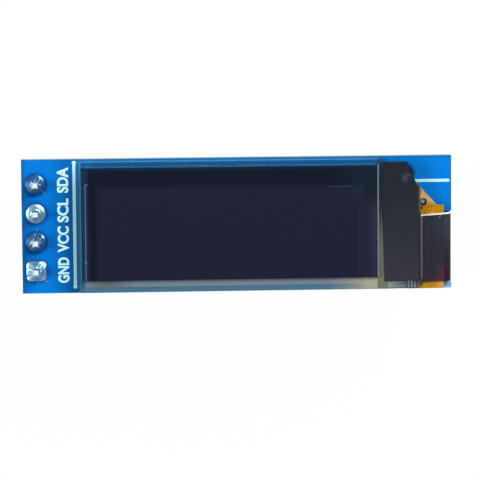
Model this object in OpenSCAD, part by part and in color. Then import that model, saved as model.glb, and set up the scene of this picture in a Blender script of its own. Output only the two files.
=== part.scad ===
// Small graphic display module: a glass display panel taped to a narrow circuit board, with a
// four-pin header soldered into one end and the panel's flexible tail folded round the other.
// Millimetres. The origin is in the middle of the pin row, on the header's lower face.
// +X runs along the board from the header to the folded tail, and +Z is the way the panel faces.

/* [Circuit board] */
// Length of the circuit board
board_l = 38; // [37.6:0.2:50]
// Width of the circuit board
board_w = 11.8; // [11.6:0.1:16]
// Thickness of the circuit board
board_t = 1.2; // [0.8:0.1:2]
// Thickness of the copper lands on both faces
land_t = 0.04; // [0.03:0.01:0.1]
// Gap between the neck of the tail and each side of the notch that it passes through
notch_side_gap = 0.12; // [0.1:0.01:0.4]
// Gap between the fold of the tail and the floor of the notch
notch_floor_gap = 0.1; // [0.05:0.05:0.3]

/* [Pin header] */
// Distance between pins
pin_pitch = 2.54; // [2.1:0.01:2.7]
// Width of a square pin
pin_w = 0.64; // [0.5:0.02:0.78]
// Length of pin below the header's lower face
pin_below = 6; // [3:0.5:12]
// Length of pin above the front of the board
pin_above = 1.5; // [1.2:0.1:2.5]
// Length of the chamfer on each pin end
pin_tip = 0.25; // [0.1:0.05:0.4]
// Width of the header's plastic body
header_w = 2.4; // [1.8:0.1:2.54]
// Height of the header's plastic body
header_h = 2.5; // [1.5:0.1:3]
// Chamfer that divides the plastic body into segments
header_chamfer = 0.4; // [0.2:0.05:0.6]
// Distance from the end of the board to the row of holes
row_inset = 1.2; // [1.2:0.05:1.5]
// How far the row of holes sits off the middle of the board
row_shift = -0.1; // [-0.3:0.05:0.3]
// Difference between a plated hole and the diagonal of the pin in it
hole_clearance = 0.1; // [0.09:0.01:0.2]
// Thickness of the plating in a hole
plating_t = 0.05; // [0.03:0.01:0.1]
// Width of the copper ring round a hole
ring_w = 0.4; // [0.3:0.05:0.5]
// How far the pins stand off the middle of their holes, along and across the board
pin_play = 0.03; // [0:0.01:0.03]
// Bare rim of land left round a solder cone
cone_margin = 0.08; // [0.05:0.01:0.15]
// Height of a solder cone
cone_h = 0.95; // [0.5:0.05:1.1]
// Solder left on each corner of a pin at the top of its cone
cone_lip = 0.03; // [0.02:0.01:0.08]

/* [Display panel] */
// Length of the front glass
panel_l = 30; // [26:0.1:30]
// Width of the front glass and the rear glass
panel_w = 11.5; // [10:0.1:11.8]
// Distance from the end of the board to the panel
panel_inset = 5.1; // [4.8:0.1:5.2]
// How far the panel lies off the middle of the board
panel_shift = -0.03; // [-0.1:0.01:0.1]
// Thickness of the double-sided tape under the panel
bed_t = 0.15; // [0.1:0.05:0.5]
// Distance from the edge of the rear glass to the double-sided tape
bed_margin = 0.5; // [0.2:0.1:2]
// Length of the ledge, where the front glass reaches past the rear glass
ledge_l = 3.4; // [3.2:0.1:5]
// Thickness of the rear glass
cap_t = 0.5; // [0.4:0.05:0.8]
// Depth of the hollow in the rear glass
hollow_depth = 0.25; // [0.16:0.01:0.3]
// Width of bare shelf between the glued joint and the hollow
shelf_w = 0.3; // [0.1:0.05:0.6]
// Thickness of the glued joint between the two glasses
seal_t = 0.05; // [0.03:0.01:0.1]
// Width of the glued joint
seal_w = 0.85; // [0.5:0.05:1.1]
// Distance from the edge of the rear glass to the glued joint
seal_margin = 0.05; // [0.02:0.01:0.2]
// Thickness of the drying sheet in the hollow
dryer_t = 0.15; // [0.05:0.01:0.15]
// Distance from the side of the hollow to the drying sheet
dryer_margin = 0.8; // [0.3:0.1:2]
// Thickness of the front glass
glass_t = 0.7; // [0.4:0.02:1.1]
// Thickness of the light-emitting layers
film_t = 0.02; // [0.01:0.01:0.02]
// Gap between the glued joint and the light-emitting layers, at the header end
film_gap_start = 0.64; // [0.1:0.02:1]
// Gap between the glued joint and the light-emitting layers, at the ledge end
film_gap_end = 0.76; // [0.1:0.02:1]
// Gap between the glued joint and the light-emitting layers, on the near long side
film_gap_near = 0.15; // [0.05:0.05:0.5]
// Gap between the glued joint and the light-emitting layers, on the far long side
film_gap_far = 1.35; // [0.5:0.05:2]
// Thickness of the polarizing film
polarizer_t = 0.2; // [0.1:0.02:0.3]
// Distance from the header end of the front glass to the polarizing film
polarizer_start = 0.06; // [0:0.02:0.1]
// Distance from the polarizing film to the start of the ledge
polarizer_end = 0.34; // [0.1:0.02:0.6]
// Distance from the near long edge of the front glass to the polarizing film
polarizer_near = 1.06; // [0.2:0.02:1.2]
// Distance from the far long edge of the front glass to the polarizing film
polarizer_far = 0.5; // [0.1:0.02:1.2]

/* [Driver chip on the glass ledge] */
// Length of the driver chip, across the panel
chip_l = 8.8; // [6:0.1:9.6]
// Width of the driver chip
chip_w = 1; // [0.8:0.05:1.3]
// Thickness of the driver chip
chip_t = 0.3; // [0.2:0.02:0.4]
// Thickness of the black resin behind the driver chip
resin_t = 0.05; // [0.03:0.01:0.1]
// Gap between the rear glass and the black resin
resin_start = 0.34; // [0.1:0.02:0.4]
// Gap between the black resin and the flexible tail
resin_end = 0.06; // [0.04:0.02:0.1]
// Distance from the far long edge of the front glass to the black resin
resin_far = 0.6; // [0.5:0.05:0.9]

/* [Flexible tail] */
// Thickness of the flexible tail
tail_t = 0.1; // [0.08:0.01:0.14]
// Length of tail bonded behind the ledge of the front glass
bond_l = 1.2; // [0.8:0.1:1.3]
// How far the tail reaches past the near long edge of the front glass
bond_near = 0.08; // [0:0.02:0.08]
// Distance from the far long edge of the front glass to the tail
bond_far = 1.22; // [0.5:0.02:2]
// Width of the tail at its shoulder
shoulder_w = 7.4; // [7.2:0.05:8]
// Length of the straight shoulder before the fold
shoulder_l = 0.6; // [0.3:0.1:1]
// Hole in the shoulder for the assembly jig
jig_hole_d = 0.56; // [0.4:0.02:0.8]
// Gap between the front glass and the jig hole
jig_hole_gap = 0.02; // [0.02:0.02:0.3]
// How far the jig hole sits above the straight shoulder
jig_hole_rise = 0.28; // [0:0.02:0.3]
// Width of the neck that passes through the notch
neck_w = 5.9; // [4:0.1:6.2]
// Distance from the near long edge of the front glass to the middle of the neck
neck_mid = 3.66; // [3.62:0.01:3.8]
// Distance from the end of the board to the outside of the fold
fold_inset = 0.12; // [0.08:0.02:0.3]
// Inside radius of the fold at the front
front_fold_r = 0.54; // [0.4:0.02:0.56]
// Inside radius of the fold at the back
back_fold_r = 0.3; // [0.2:0.02:0.5]
// Length of neck on the back of the board
back_neck_l = 1.9; // [1.5:0.1:3]
// Length of the wide part of the tail on the back of the board
back_l = 5; // [4:0.1:6]
// Length of the slope from the neck to the wide part, on the far side
back_slope_l = 2.5; // [1:0.5:3.5]
// Width of tail outside the outermost leads
back_margin = 0.5; // [0.3:0.05:0.6]
// Number of leads on the end of the tail
lead_count = 14; // [10:1:14]
// Distance between leads
lead_pitch = 0.62; // [0.5:0.01:0.64]
// Width of a lead
lead_w = 0.32; // [0.2:0.02:0.32]
// Length of a lead beyond the end of the tail
lead_l = 1.2; // [0.8:0.1:1.6]
// Thickness of a lead
lead_t = 0.05; // [0.03:0.01:0.05]
// Length of land beyond the end of a lead
lead_land_reach = 0.1; // [0.04:0.02:0.2]
// Gap between the solder joints of two leads
lead_solder_gap = 0.14; // [0.1:0.02:0.16]
// Gap between the solder joints and the end of the tail
lead_solder_setback = 0.05; // [0.02:0.01:0.1]
// Height of solder above a lead
lead_solder_h = 0.16; // [0.1:0.02:0.24]

/* [Black tapes] */
// Thickness of the black tapes
tape_t = 0.06; // [0.04:0.01:0.1]
// Gap between the polarizing film and the ledge tape
ledge_tape_start = 0.36; // [0.32:0.02:0.6]
// Gap between the ledge tape and the end of the front glass
ledge_tape_end = 0.3; // [0.2:0.02:0.6]
// Distance from each long edge of the front glass to the ledge tape
ledge_tape_side = 0.5; // [0.3:0.05:1]
// How far the ledge tape lies off the middle of the ledge
ledge_tape_shift = 0.2; // [-0.2:0.05:0.2]
// Angle at which the ledge tape was laid
ledge_tape_turn = 1.6; // [0:0.1:1.6]
// Width of the cut across the free corner of the ledge tape
ledge_cut_w = 0.95; // [0.4:0.05:1.2]
// Length of the cut across the free corner of the ledge tape
ledge_cut_l = 1.9; // [1:0.1:2.5]
// Width of the steep part of the cut
ledge_steep_w = 0.28; // [0.1:0.02:0.36]
// Length of the steep part of the cut
ledge_steep_l = 0.66; // [0.4:0.02:0.8]
// How far the neck tape reaches past each side of the neck
neck_tape_side = 0.05; // [-0.2:0.01:0.05]
// Angle at which the neck tape was laid
neck_tape_turn = 4.2; // [0:0.1:4.2]
// Gap between the front glass and the neck tape
neck_tape_gap = 0.06; // [0.04:0.01:0.2]
// Length of the neck tape on the back of the board
neck_tape_back = 2.4; // [1:0.1:4]

/* [Small parts on the back] */
// Length of a chip capacitor or resistor
smd_l = 1.6; // [1.2:0.1:2]
// Width of a chip capacitor or resistor
smd_w = 0.8; // [0.5:0.02:1.2]
// Height of a chip capacitor
capacitor_h = 0.8; // [0.5:0.05:1]
// Height of a chip resistor
resistor_h = 0.45; // [0.4:0.01:0.6]
// Length of the metal cap on each end of a chip part
end_cap_l = 0.3; // [0.2:0.02:0.4]
// How far a metal end cap stands proud of the part
end_cap_t = 0.02; // [0.01:0.01:0.04]
// Length of land beyond each end of a part
land_reach = 0.4; // [0.2:0.05:0.5]
// Width of land beside a part
land_side = 0.06; // [0.02:0.02:0.2]
// Height of a solder fillet against a chip part
fillet_h = 0.35; // [0.2:0.05:0.4]
// Bare rim of land left beyond a solder fillet
fillet_margin = 0.08; // [0.02:0.02:0.1]
// Distance between the chip parts in a column
column_pitch = 2.4; // [2:0.1:2.6]
// Distance between two columns of chip parts
column_gap = 3.1; // [3:0.1:3.6]
// Distance from the soldered leads of the tail to the middle of the first column
first_column = 1.8; // [1.6:0.1:2.2]
// Distance from the pin row to the first two resistors
pull_up_inset = 3.8; // [3.2:0.1:4.2]
// Distance from the pin row to the voltage regulator
regulator_inset = 7.4; // [6.8:0.1:8]
// Length of the voltage regulator's body
regulator_l = 2.9; // [2.6:0.1:3]
// Width of the voltage regulator's body
regulator_w = 1.3; // [1.2:0.1:1.6]
// Height of the voltage regulator's body
regulator_h = 1; // [0.9:0.05:1.2]
// Distance between the two leads on one side of the voltage regulator
regulator_pitch = 1.9; // [1.8:0.05:2]
// Width of a lead of the voltage regulator
regulator_lead_w = 0.4; // [0.3:0.05:0.5]
// Distance from the pin row to the diode
diode_inset = 12.6; // [12:0.1:14]
// Length of the diode's body
diode_l = 1.7; // [1.5:0.1:2]
// Width of the diode's body
diode_w = 1.25; // [1:0.05:1.5]
// Height of the diode's body
diode_h = 0.9; // [0.7:0.05:1]
// Width of a lead of the diode
diode_lead_w = 0.3; // [0.2:0.05:0.4]
// Thickness of the sheet that bent leads are made of
sheet_t = 0.15; // [0.1:0.01:0.2]
// Length of each bend of a bent lead
knee_l = 0.18; // [0.15:0.01:0.3]
// Length of the foot of a bent lead
foot_l = 0.35; // [0.25:0.05:0.5]
// Length of a bent lead inside its moulded body
embed_l = 0.3; // [0.2:0.05:0.4]
// Gap between a moulded body and the lands under its leads
body_lift = 0.1; // [0.05:0.01:0.15]
// Slope of the sides of a moulded body
mould_draft = 7; // [3:1:10]

/* [Hidden] */
CAPACITORS = 8;
RESISTORS = 5;
// Capacitors, and then resistors, in each column of small parts
CAPACITOR_ROWS = 4;
RESISTOR_ROWS = 3;
$fn = 64;
// Overshoot of a cutting block past the face that it cuts
cut = 0.5;

// Header and holes
PINS = ["gnd", "vcc", "scl", "sda"];
pin_count = len(PINS);
hole_d = pin_w * sqrt(2) + hole_clearance;
land_d = hole_d + 2 * ring_w;
cone_foot_r = land_d / 2 - pin_play * sqrt(2) - cone_margin;
cone_neck_r = pin_w / sqrt(2) + cone_lip;
board_back_z = header_h + land_t;
board_front_z = board_back_z + board_t;
row_y = board_w / 2 + row_shift;

// Heights above the front of the board
seal_z = bed_t + cap_t;
glass_z = seal_z + seal_t;
glass_front_z = glass_z + glass_t;

// Places along and across the board, from its corner at the header end
panel_y = (board_w - panel_w) / 2 + panel_shift;
panel_end = panel_inset + panel_l;
cap_l = panel_l - ledge_l;
cap_end = panel_inset + cap_l;
seal_inside = seal_margin + seal_w;
bond_start = panel_end - bond_l;
resin_w = ledge_l - bond_l - resin_start - resin_end;
chip_x = cap_end + resin_start + (resin_w - chip_w) / 2;
chip_y = panel_y + (panel_w - chip_l) / 2;

// The fold of the tail
tail_y = panel_y - bond_near;
neck_y = panel_y + neck_mid;
shoulder_y = tail_y + shoulder_w;
fold_x = board_l - fold_inset;
front_fold_x = fold_x - tail_t - front_fold_r;
front_fold_z = glass_z - tail_t - front_fold_r;
back_fold_x = fold_x - tail_t - back_fold_r;
back_fold_z = -board_t + back_fold_r;
notch_x = back_fold_x - notch_floor_gap;

// The soldered end of the tail, on the back of the board
back_w = (lead_count - 1) * lead_pitch + lead_w + 2 * back_margin;
back_y = (board_w - back_w) / 2;
back_neck_x = back_fold_x - back_neck_l;
back_end_x = back_neck_x - back_l;
lead_end_x = back_end_x - lead_l;
lead_land_x = lead_end_x - lead_land_reach;

// Places of the small parts on the back, along and across the board
function column_place(column, row, rows) = [
    lead_end_x - first_column - column * column_gap,
    board_w / 2 + (row - (rows - 1) / 2) * column_pitch];
function capacitor_place(i) =
    column_place(floor((i - 1) / CAPACITOR_ROWS), (i - 1) % CAPACITOR_ROWS, CAPACITOR_ROWS);
function resistor_place(i) =
    i <= RESISTOR_ROWS
    ? column_place(CAPACITORS / CAPACITOR_ROWS, i - 1, RESISTOR_ROWS)
    : [row_inset + pull_up_inset, row_y + pin_y(i - 2)];
regulator_place = [row_inset + regulator_inset, row_y + pin_y(1)];
diode_place = [row_inset + diode_inset, row_y + pin_pitch];

function pin_y(i) = (i - (pin_count - 1) / 2) * pin_pitch;
function lead_y(k) = board_w / 2 + (k - (lead_count - 1) / 2) * lead_pitch;
function lead_top(h) = land_t + body_lift + (h + sheet_t) / 2;

// --- placing and shared shapes ---

// Puts children in board coordinates, from the header-end corner of the front face
module on_front() {
    translate([-row_inset - pin_play, -row_y + pin_play, board_front_z]) children();
}

// Puts children on the back face at a place, with +Z away from the board
module on_back(place) {
    on_front() translate([place[0], place[1], -board_t]) mirror([0, 0, 1]) children();
}

module at_hole(i) {
    translate([-pin_play, pin_y(i) + pin_play, 0]) children();
}

// A block from its lowest corner
module block(corner, size) {
    translate(corner) cube(size);
}

// A profile drawn across X and up Z, drawn out along Y about its middle
module along_y(width) {
    rotate([90, 0, 0]) linear_extrude(width, center = true) children();
}

// A profile drawn across Y and up Z, drawn out along X about its middle
module along_x(length) {
    rotate([90, 0, 90]) linear_extrude(length, center = true) children();
}

// --- circuit board and header ---

module board() {
    color("dodgerblue") difference() {
        on_front() difference() {
            block([0, 0, -board_t], [board_l, board_w, board_t]);
            block([notch_x, neck_y - neck_w / 2 - notch_side_gap, -board_t - cut],
                [board_l, neck_w + 2 * notch_side_gap, board_t + 2 * cut]);
        }
        for (i = [0 : pin_count - 1])
            at_hole(i) translate([0, 0, board_back_z - cut])
                cylinder(d = hole_d + 2 * plating_t, h = board_t + 2 * cut);
    }
}

// Plated holes with a land on both faces, square at the first pin
module plated_holes() {
    color("gainsboro") for (i = [0 : pin_count - 1])
        at_hole(i) difference() {
            union() {
                translate([0, 0, header_h]) hole_land(i == 0);
                translate([0, 0, board_back_z]) cylinder(d = hole_d + 2 * plating_t, h = board_t);
                translate([0, 0, board_front_z]) hole_land(i == 0);
            }
            translate([0, 0, header_h - cut]) cylinder(d = hole_d, h = board_t + 2 * cut + 2 * land_t);
        }
}

module hole_land(square_land) {
    if (square_land)
        block([-land_d / 2, -land_d / 2, 0], [land_d, land_d, land_t]);
    else
        cylinder(d = land_d, h = land_t);
}

// One plastic body of joined segments, each with a pin pressed through it
module header_body() {
    x = header_w / 2;
    y = pin_pitch / 2;
    c = header_chamfer;
    color([0.1, 0.1, 0.11]) difference() {
        linear_extrude(header_h) for (i = [0 : pin_count - 1])
            translate([0, pin_y(i)]) polygon([
                [-x + c, -y], [x - c, -y], [x, -y + c], [x, y - c],
                [x - c, y], [-x + c, y], [-x, y - c], [-x, -y + c]]);
        for (i = [0 : pin_count - 1])
            block([-pin_w / 2, pin_y(i) - pin_w / 2, -cut], [pin_w, pin_w, header_h + 2 * cut]);
    }
}

// A square pin, tapered at both ends
module pin(i) {
    half = pin_w / 2;
    slim = half - pin_tip / 2;
    low = -pin_below;
    high = board_front_z + pin_above;
    profile = [[-slim, low], [slim, low], [half, low + pin_tip], [half, high - pin_tip],
        [slim, high], [-slim, high], [-half, high - pin_tip], [-half, low + pin_tip]];
    color("silver") translate([0, pin_y(i), 0]) intersection() {
        along_y(pin_w) polygon(profile);
        along_x(pin_w) polygon(profile);
    }
}

// Solder drawn up the pin in a hollow curve, and down through the plated hole
module solder(i) {
    steps = 6;
    foot_z = board_front_z + land_t;
    curve = [for (k = [0 : steps])
        [cone_neck_r + (cone_foot_r - cone_neck_r) * pow(1 - k / steps, 2), cone_h * k / steps]];
    color("lightgray") difference() {
        union() {
            translate([0, pin_y(i), foot_z]) rotate_extrude()
                polygon(concat([[0, 0]], curve, [[0, cone_h]]));
            at_hole(i) translate([0, 0, header_h]) cylinder(d = hole_d, h = foot_z - header_h);
        }
        block([-pin_w / 2, pin_y(i) - pin_w / 2, header_h - cut],
            [pin_w, pin_w, board_t + pin_above + 2 * cut]);
    }
}

// --- display panel ---

module panel_bed_tape() {
    color("whitesmoke") on_front()
        block([panel_inset + bed_margin, panel_y + bed_margin, 0],
            [cap_l - 2 * bed_margin, panel_w - 2 * bed_margin, bed_t]);
}

// The rear glass, hollowed on the side that faces the light-emitting layers
module rear_glass() {
    inset = seal_inside + shelf_w;
    color([0.72, 0.8, 0.78]) on_front() difference() {
        block([panel_inset, panel_y, bed_t], [cap_l, panel_w, cap_t]);
        block([panel_inset + inset, panel_y + inset, seal_z - hollow_depth],
            [cap_l - 2 * inset, panel_w - 2 * inset, hollow_depth + cut]);
    }
}

module drying_sheet() {
    inset = seal_inside + shelf_w + dryer_margin;
    color("beige") on_front()
        block([panel_inset + inset, panel_y + inset, seal_z - hollow_depth],
            [cap_l - 2 * inset, panel_w - 2 * inset, dryer_t]);
}

module edge_seal() {
    l = cap_l - 2 * seal_margin;
    w = panel_w - 2 * seal_margin;
    color([0.6, 0.63, 0.55]) on_front()
        translate([panel_inset + seal_margin, panel_y + seal_margin, seal_z]) difference() {
            cube([l, w, seal_t]);
            block([seal_w, seal_w, -cut], [l - 2 * seal_w, w - 2 * seal_w, seal_t + 2 * cut]);
        }
}

module emitting_film() {
    color([0.3, 0.28, 0.4]) on_front()
        block([panel_inset + seal_inside + film_gap_start,
                panel_y + seal_inside + film_gap_near, glass_z - film_t],
            [cap_l - 2 * seal_inside - film_gap_start - film_gap_end,
                panel_w - 2 * seal_inside - film_gap_near - film_gap_far, film_t]);
}

module front_glass() {
    color([0.7, 0.8, 0.8]) on_front()
        block([panel_inset, panel_y, glass_z], [panel_l, panel_w, glass_t]);
}

module polarizer() {
    color([0.13, 0.13, 0.2]) on_front()
        block([panel_inset + polarizer_start, panel_y + polarizer_near, glass_front_z],
            [cap_l - polarizer_start - polarizer_end,
                panel_w - polarizer_near - polarizer_far, polarizer_t]);
}

module driver_chip() {
    color("dimgray") on_front()
        block([chip_x, chip_y, glass_z - chip_t], [chip_w, chip_l, chip_t]);
}

// Resin poured over the driver chip, from the near long edge of the ledge to past the chip
module chip_resin() {
    color([0.08, 0.08, 0.1]) on_front() difference() {
        block([cap_end + resin_start, panel_y, glass_z - chip_t - resin_t],
            [resin_w, panel_w - resin_far, chip_t + resin_t]);
        block([chip_x, chip_y, glass_z - chip_t], [chip_w, chip_l, chip_t + cut]);
    }
}

// --- flexible tail ---

// A strip that runs along the front, down through the notch and back under the board.
// lift is how far it lies outside the inner face of the tail.
module folded_strip(lift, thickness, width, front_x, back_x) {
    translate([0, neck_y, 0]) {
        block([front_x, -width / 2, glass_z - tail_t + lift],
            [front_fold_x - front_x, width, thickness]);
        translate([front_fold_x, 0, front_fold_z])
            quarter_turn(front_fold_r + lift, thickness, width);
        block([fold_x - tail_t + lift, -width / 2, back_fold_z],
            [thickness, width, front_fold_z - back_fold_z]);
        translate([back_fold_x, 0, back_fold_z]) mirror([0, 0, 1])
            quarter_turn(back_fold_r + lift, thickness, width);
        block([back_x, -width / 2, -board_t - lift - thickness],
            [back_fold_x - back_x, width, thickness]);
    }
}

module quarter_turn(inner_r, thickness, width) {
    rotate([90, 0, 0]) rotate_extrude(angle = 90)
        translate([inner_r, -width / 2]) square([thickness, width]);
}

module flexible_tail() {
    color("goldenrod") on_front() difference() {
        union() {
            translate([0, 0, glass_z - tail_t]) linear_extrude(tail_t) polygon([
                [bond_start, tail_y], [front_fold_x, tail_y], [front_fold_x, shoulder_y],
                [front_fold_x - shoulder_l, shoulder_y],
                [bond_start, panel_y + panel_w - bond_far]]);
            folded_strip(0, tail_t, neck_w, front_fold_x - shoulder_l, back_neck_x);
            translate([0, 0, -board_t - tail_t]) linear_extrude(tail_t) polygon([
                [back_end_x, back_y], [back_neck_x - shoulder_l, back_y],
                [back_neck_x, neck_y - neck_w / 2], [back_neck_x, neck_y + neck_w / 2],
                [back_neck_x - back_slope_l, back_y + back_w], [back_end_x, back_y + back_w]]);
        }
        translate([panel_end + jig_hole_gap + jig_hole_d / 2, shoulder_y + jig_hole_rise,
            glass_z - tail_t - cut]) cylinder(d = jig_hole_d, h = tail_t + 2 * cut);
    }
}

module lead_block(k, x, low, high) {
    block([x, lead_y(k) - lead_w / 2, -board_t - high],
        [back_end_x - x, lead_w, high - low]);
}

// Bare ends of the tail's conductors, laid on their lands
module tail_leads() {
    color("silver") on_front() for (k = [0 : lead_count - 1])
        lead_block(k, lead_end_x, land_t, land_t + lead_t);
}

module tail_lands() {
    color("gold") on_front() for (k = [0 : lead_count - 1])
        lead_block(k, lead_land_x, 0, land_t);
}

// A rounded joint of solder over each lead, down to the board on both sides
module tail_solder() {
    w = lead_pitch - lead_solder_gap;
    h = land_t + lead_t + lead_solder_h;
    l = back_end_x - lead_solder_setback - lead_land_x;
    color("lightgray") on_front() difference() {
        for (k = [0 : lead_count - 1])
            translate([lead_land_x + l / 2, lead_y(k), -board_t]) along_x(l)
                intersection() {
                    translate([0, w - h]) circle(r = w);
                    translate([-w / 2, -h]) square([w, h]);
                }
        for (k = [0 : lead_count - 1]) {
            lead_block(k, lead_end_x, land_t, land_t + lead_t);
            lead_block(k, lead_land_x, -cut, land_t);
        }
    }
}

// --- black tapes ---

module ledge_tape() {
    start = cap_end - polarizer_end + ledge_tape_start;
    x = (panel_end - ledge_tape_end - start) / 2;
    y = panel_w / 2 - ledge_tape_side;
    color([0.19, 0.2, 0.24]) on_front()
        translate([start + x, panel_y + panel_w / 2 + ledge_tape_shift, glass_front_z])
            rotate([0, 0, ledge_tape_turn]) linear_extrude(tape_t) polygon([
                [-x, -y], [x, -y], [x, y - ledge_cut_l],
                [x - ledge_steep_w, y - ledge_cut_l + ledge_steep_l],
                [x - ledge_cut_w, y], [-x, y]]);
}

// Tape over the tail from the front glass, round the fold and on to the back
module neck_tape() {
    start = panel_end + neck_tape_gap;
    width = neck_w + 2 * neck_tape_side;
    reach = board_l;
    color([0.2, 0.19, 0.23]) on_front() intersection() {
        folded_strip(tail_t, tape_t, 2 * neck_w, start, back_fold_x - neck_tape_back);
        translate([fold_x, neck_y, 0]) rotate([0, 0, neck_tape_turn])
            cube([reach, width, reach], center = true);
    }
}

// --- small parts on the back ---

// A chip part with metal end caps, lying on its lands
module chip_part(h) {
    block([-smd_l / 2, -smd_w / 2 + end_cap_t, land_t + end_cap_t],
        [smd_l, smd_w - 2 * end_cap_t, h - 2 * end_cap_t]);
    for (x = [-smd_l / 2, smd_l / 2 - end_cap_l])
        block([x, -smd_w / 2, land_t], [end_cap_l, smd_w, h]);
}

module capacitor(i) {
    color("tan") on_back(capacitor_place(i)) chip_part(capacitor_h);
}

module resistor(i) {
    color([0.15, 0.15, 0.16]) on_back(resistor_place(i)) chip_part(resistor_h);
}

// A moulded body whose sides slope in from the parting line at mid height
module moulded_body(l, w, h) {
    slope = h / 2 * tan(mould_draft);
    translate([0, 0, land_t + body_lift]) intersection() {
        along_y(w) parting_profile(l / 2, h, slope);
        along_x(l) parting_profile(w / 2, h, slope);
    }
}

module parting_profile(half, h, slope) {
    polygon([[-half + slope, 0], [half - slope, 0], [half, h / 2],
        [half - slope, h], [-half + slope, h], [-half, h / 2]]);
}

// A lead that leaves a body of the given half length along X and bends down to its land
module bent_lead(half, w, h) {
    top = lead_top(h);
    knee = half + knee_l;
    toe = knee + knee_l + foot_l;
    along_y(w) polygon([
        [half - embed_l, top], [knee, top], [knee + knee_l, land_t + sheet_t],
        [toe, land_t + sheet_t], [toe, land_t], [knee + knee_l - sheet_t / 2, land_t],
        [knee - sheet_t / 2, top - sheet_t], [half - embed_l, top - sheet_t]]);
}

module regulator_lead_set() {
    for (y = [-regulator_pitch / 2, regulator_pitch / 2])
        translate([0, y, 0]) bent_lead(regulator_w / 2, regulator_lead_w, regulator_h);
    rotate([0, 0, 180]) bent_lead(regulator_w / 2, regulator_lead_w, regulator_h);
}

module diode_lead_set() {
    for (turn = [0, 180])
        rotate([0, 0, turn]) bent_lead(diode_l / 2, diode_lead_w, diode_h);
}

module regulator_body() {
    color([0.12, 0.12, 0.13]) on_back(regulator_place) difference() {
        moulded_body(regulator_w, regulator_l, regulator_h);
        regulator_lead_set();
    }
}

module regulator_leads() {
    color("silver") on_back(regulator_place) regulator_lead_set();
}

module diode_body() {
    color([0.12, 0.12, 0.13]) on_back(diode_place) difference() {
        moulded_body(diode_l, diode_w, diode_h);
        diode_lead_set();
    }
}

module diode_leads() {
    color("silver") on_back(diode_place) diode_lead_set();
}

// Repeats children for both ends of a part, with X pointing outwards
module both_ends() {
    children();
    mirror([1, 0, 0]) children();
}

// The three lead positions of the regulator, with X pointing along each lead
module regulator_ends() {
    for (y = [-regulator_pitch / 2, regulator_pitch / 2]) translate([0, y, 0]) children();
    mirror([1, 0, 0]) children();
}

module chip_land() {
    block([smd_l / 2 - end_cap_l, -smd_w / 2 - land_side, 0],
        [end_cap_l + land_reach, smd_w + 2 * land_side, land_t]);
}

module bent_lead_land(half, w) {
    block([half + knee_l, -w / 2 - land_side, 0],
        [knee_l + foot_l + land_reach, w + 2 * land_side, land_t]);
}

module part_lands() {
    color("gold") {
        for (i = [1 : CAPACITORS]) on_back(capacitor_place(i)) both_ends() chip_land();
        for (i = [1 : RESISTORS]) on_back(resistor_place(i)) both_ends() chip_land();
        on_back(regulator_place) regulator_ends() bent_lead_land(regulator_w / 2, regulator_lead_w);
        on_back(diode_place) both_ends() bent_lead_land(diode_l / 2, diode_lead_w);
    }
}

// A hollow fillet of solder that stands on a land against an upright face at x
module fillet(x, w, h) {
    steps = 4;
    run = land_reach - fillet_margin;
    along_y(w) polygon(concat([[x, land_t]],
        [for (k = [0 : steps]) [x + run * (1 - k / steps), land_t + h * pow(k / steps, 2)]]));
}

module part_solder() {
    color("lightgray") {
        for (i = [1 : CAPACITORS])
            on_back(capacitor_place(i)) both_ends() fillet(smd_l / 2, smd_w, fillet_h);
        for (i = [1 : RESISTORS])
            on_back(resistor_place(i)) both_ends() fillet(smd_l / 2, smd_w, fillet_h);
        on_back(regulator_place) regulator_ends()
            fillet(regulator_w / 2 + 2 * knee_l + foot_l, regulator_lead_w, sheet_t);
        on_back(diode_place) both_ends()
            fillet(diode_l / 2 + 2 * knee_l + foot_l, diode_lead_w, sheet_t);
    }
}

// --- nodes ---

board();
plated_holes();
header_body();
for (i = [0 : pin_count - 1]) {
    pin(i);
    solder(i);
}
panel_bed_tape();
rear_glass();
drying_sheet();
edge_seal();
emitting_film();
front_glass();
polarizer();
driver_chip();
chip_resin();
flexible_tail();
tail_leads();
tail_lands();
tail_solder();
ledge_tape();
neck_tape();
for (i = [1 : CAPACITORS])
    capacitor(i);
for (i = [1 : RESISTORS])
    resistor(i);
regulator_body();
regulator_leads();
diode_body();
diode_leads();
part_lands();
part_solder();
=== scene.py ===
import logging
import math
from dataclasses import dataclass
from enum import Enum
from typing import Iterable, Optional, Sequence, Union

import bmesh
import bpy
from mathutils import Matrix, Vector, noise


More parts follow.
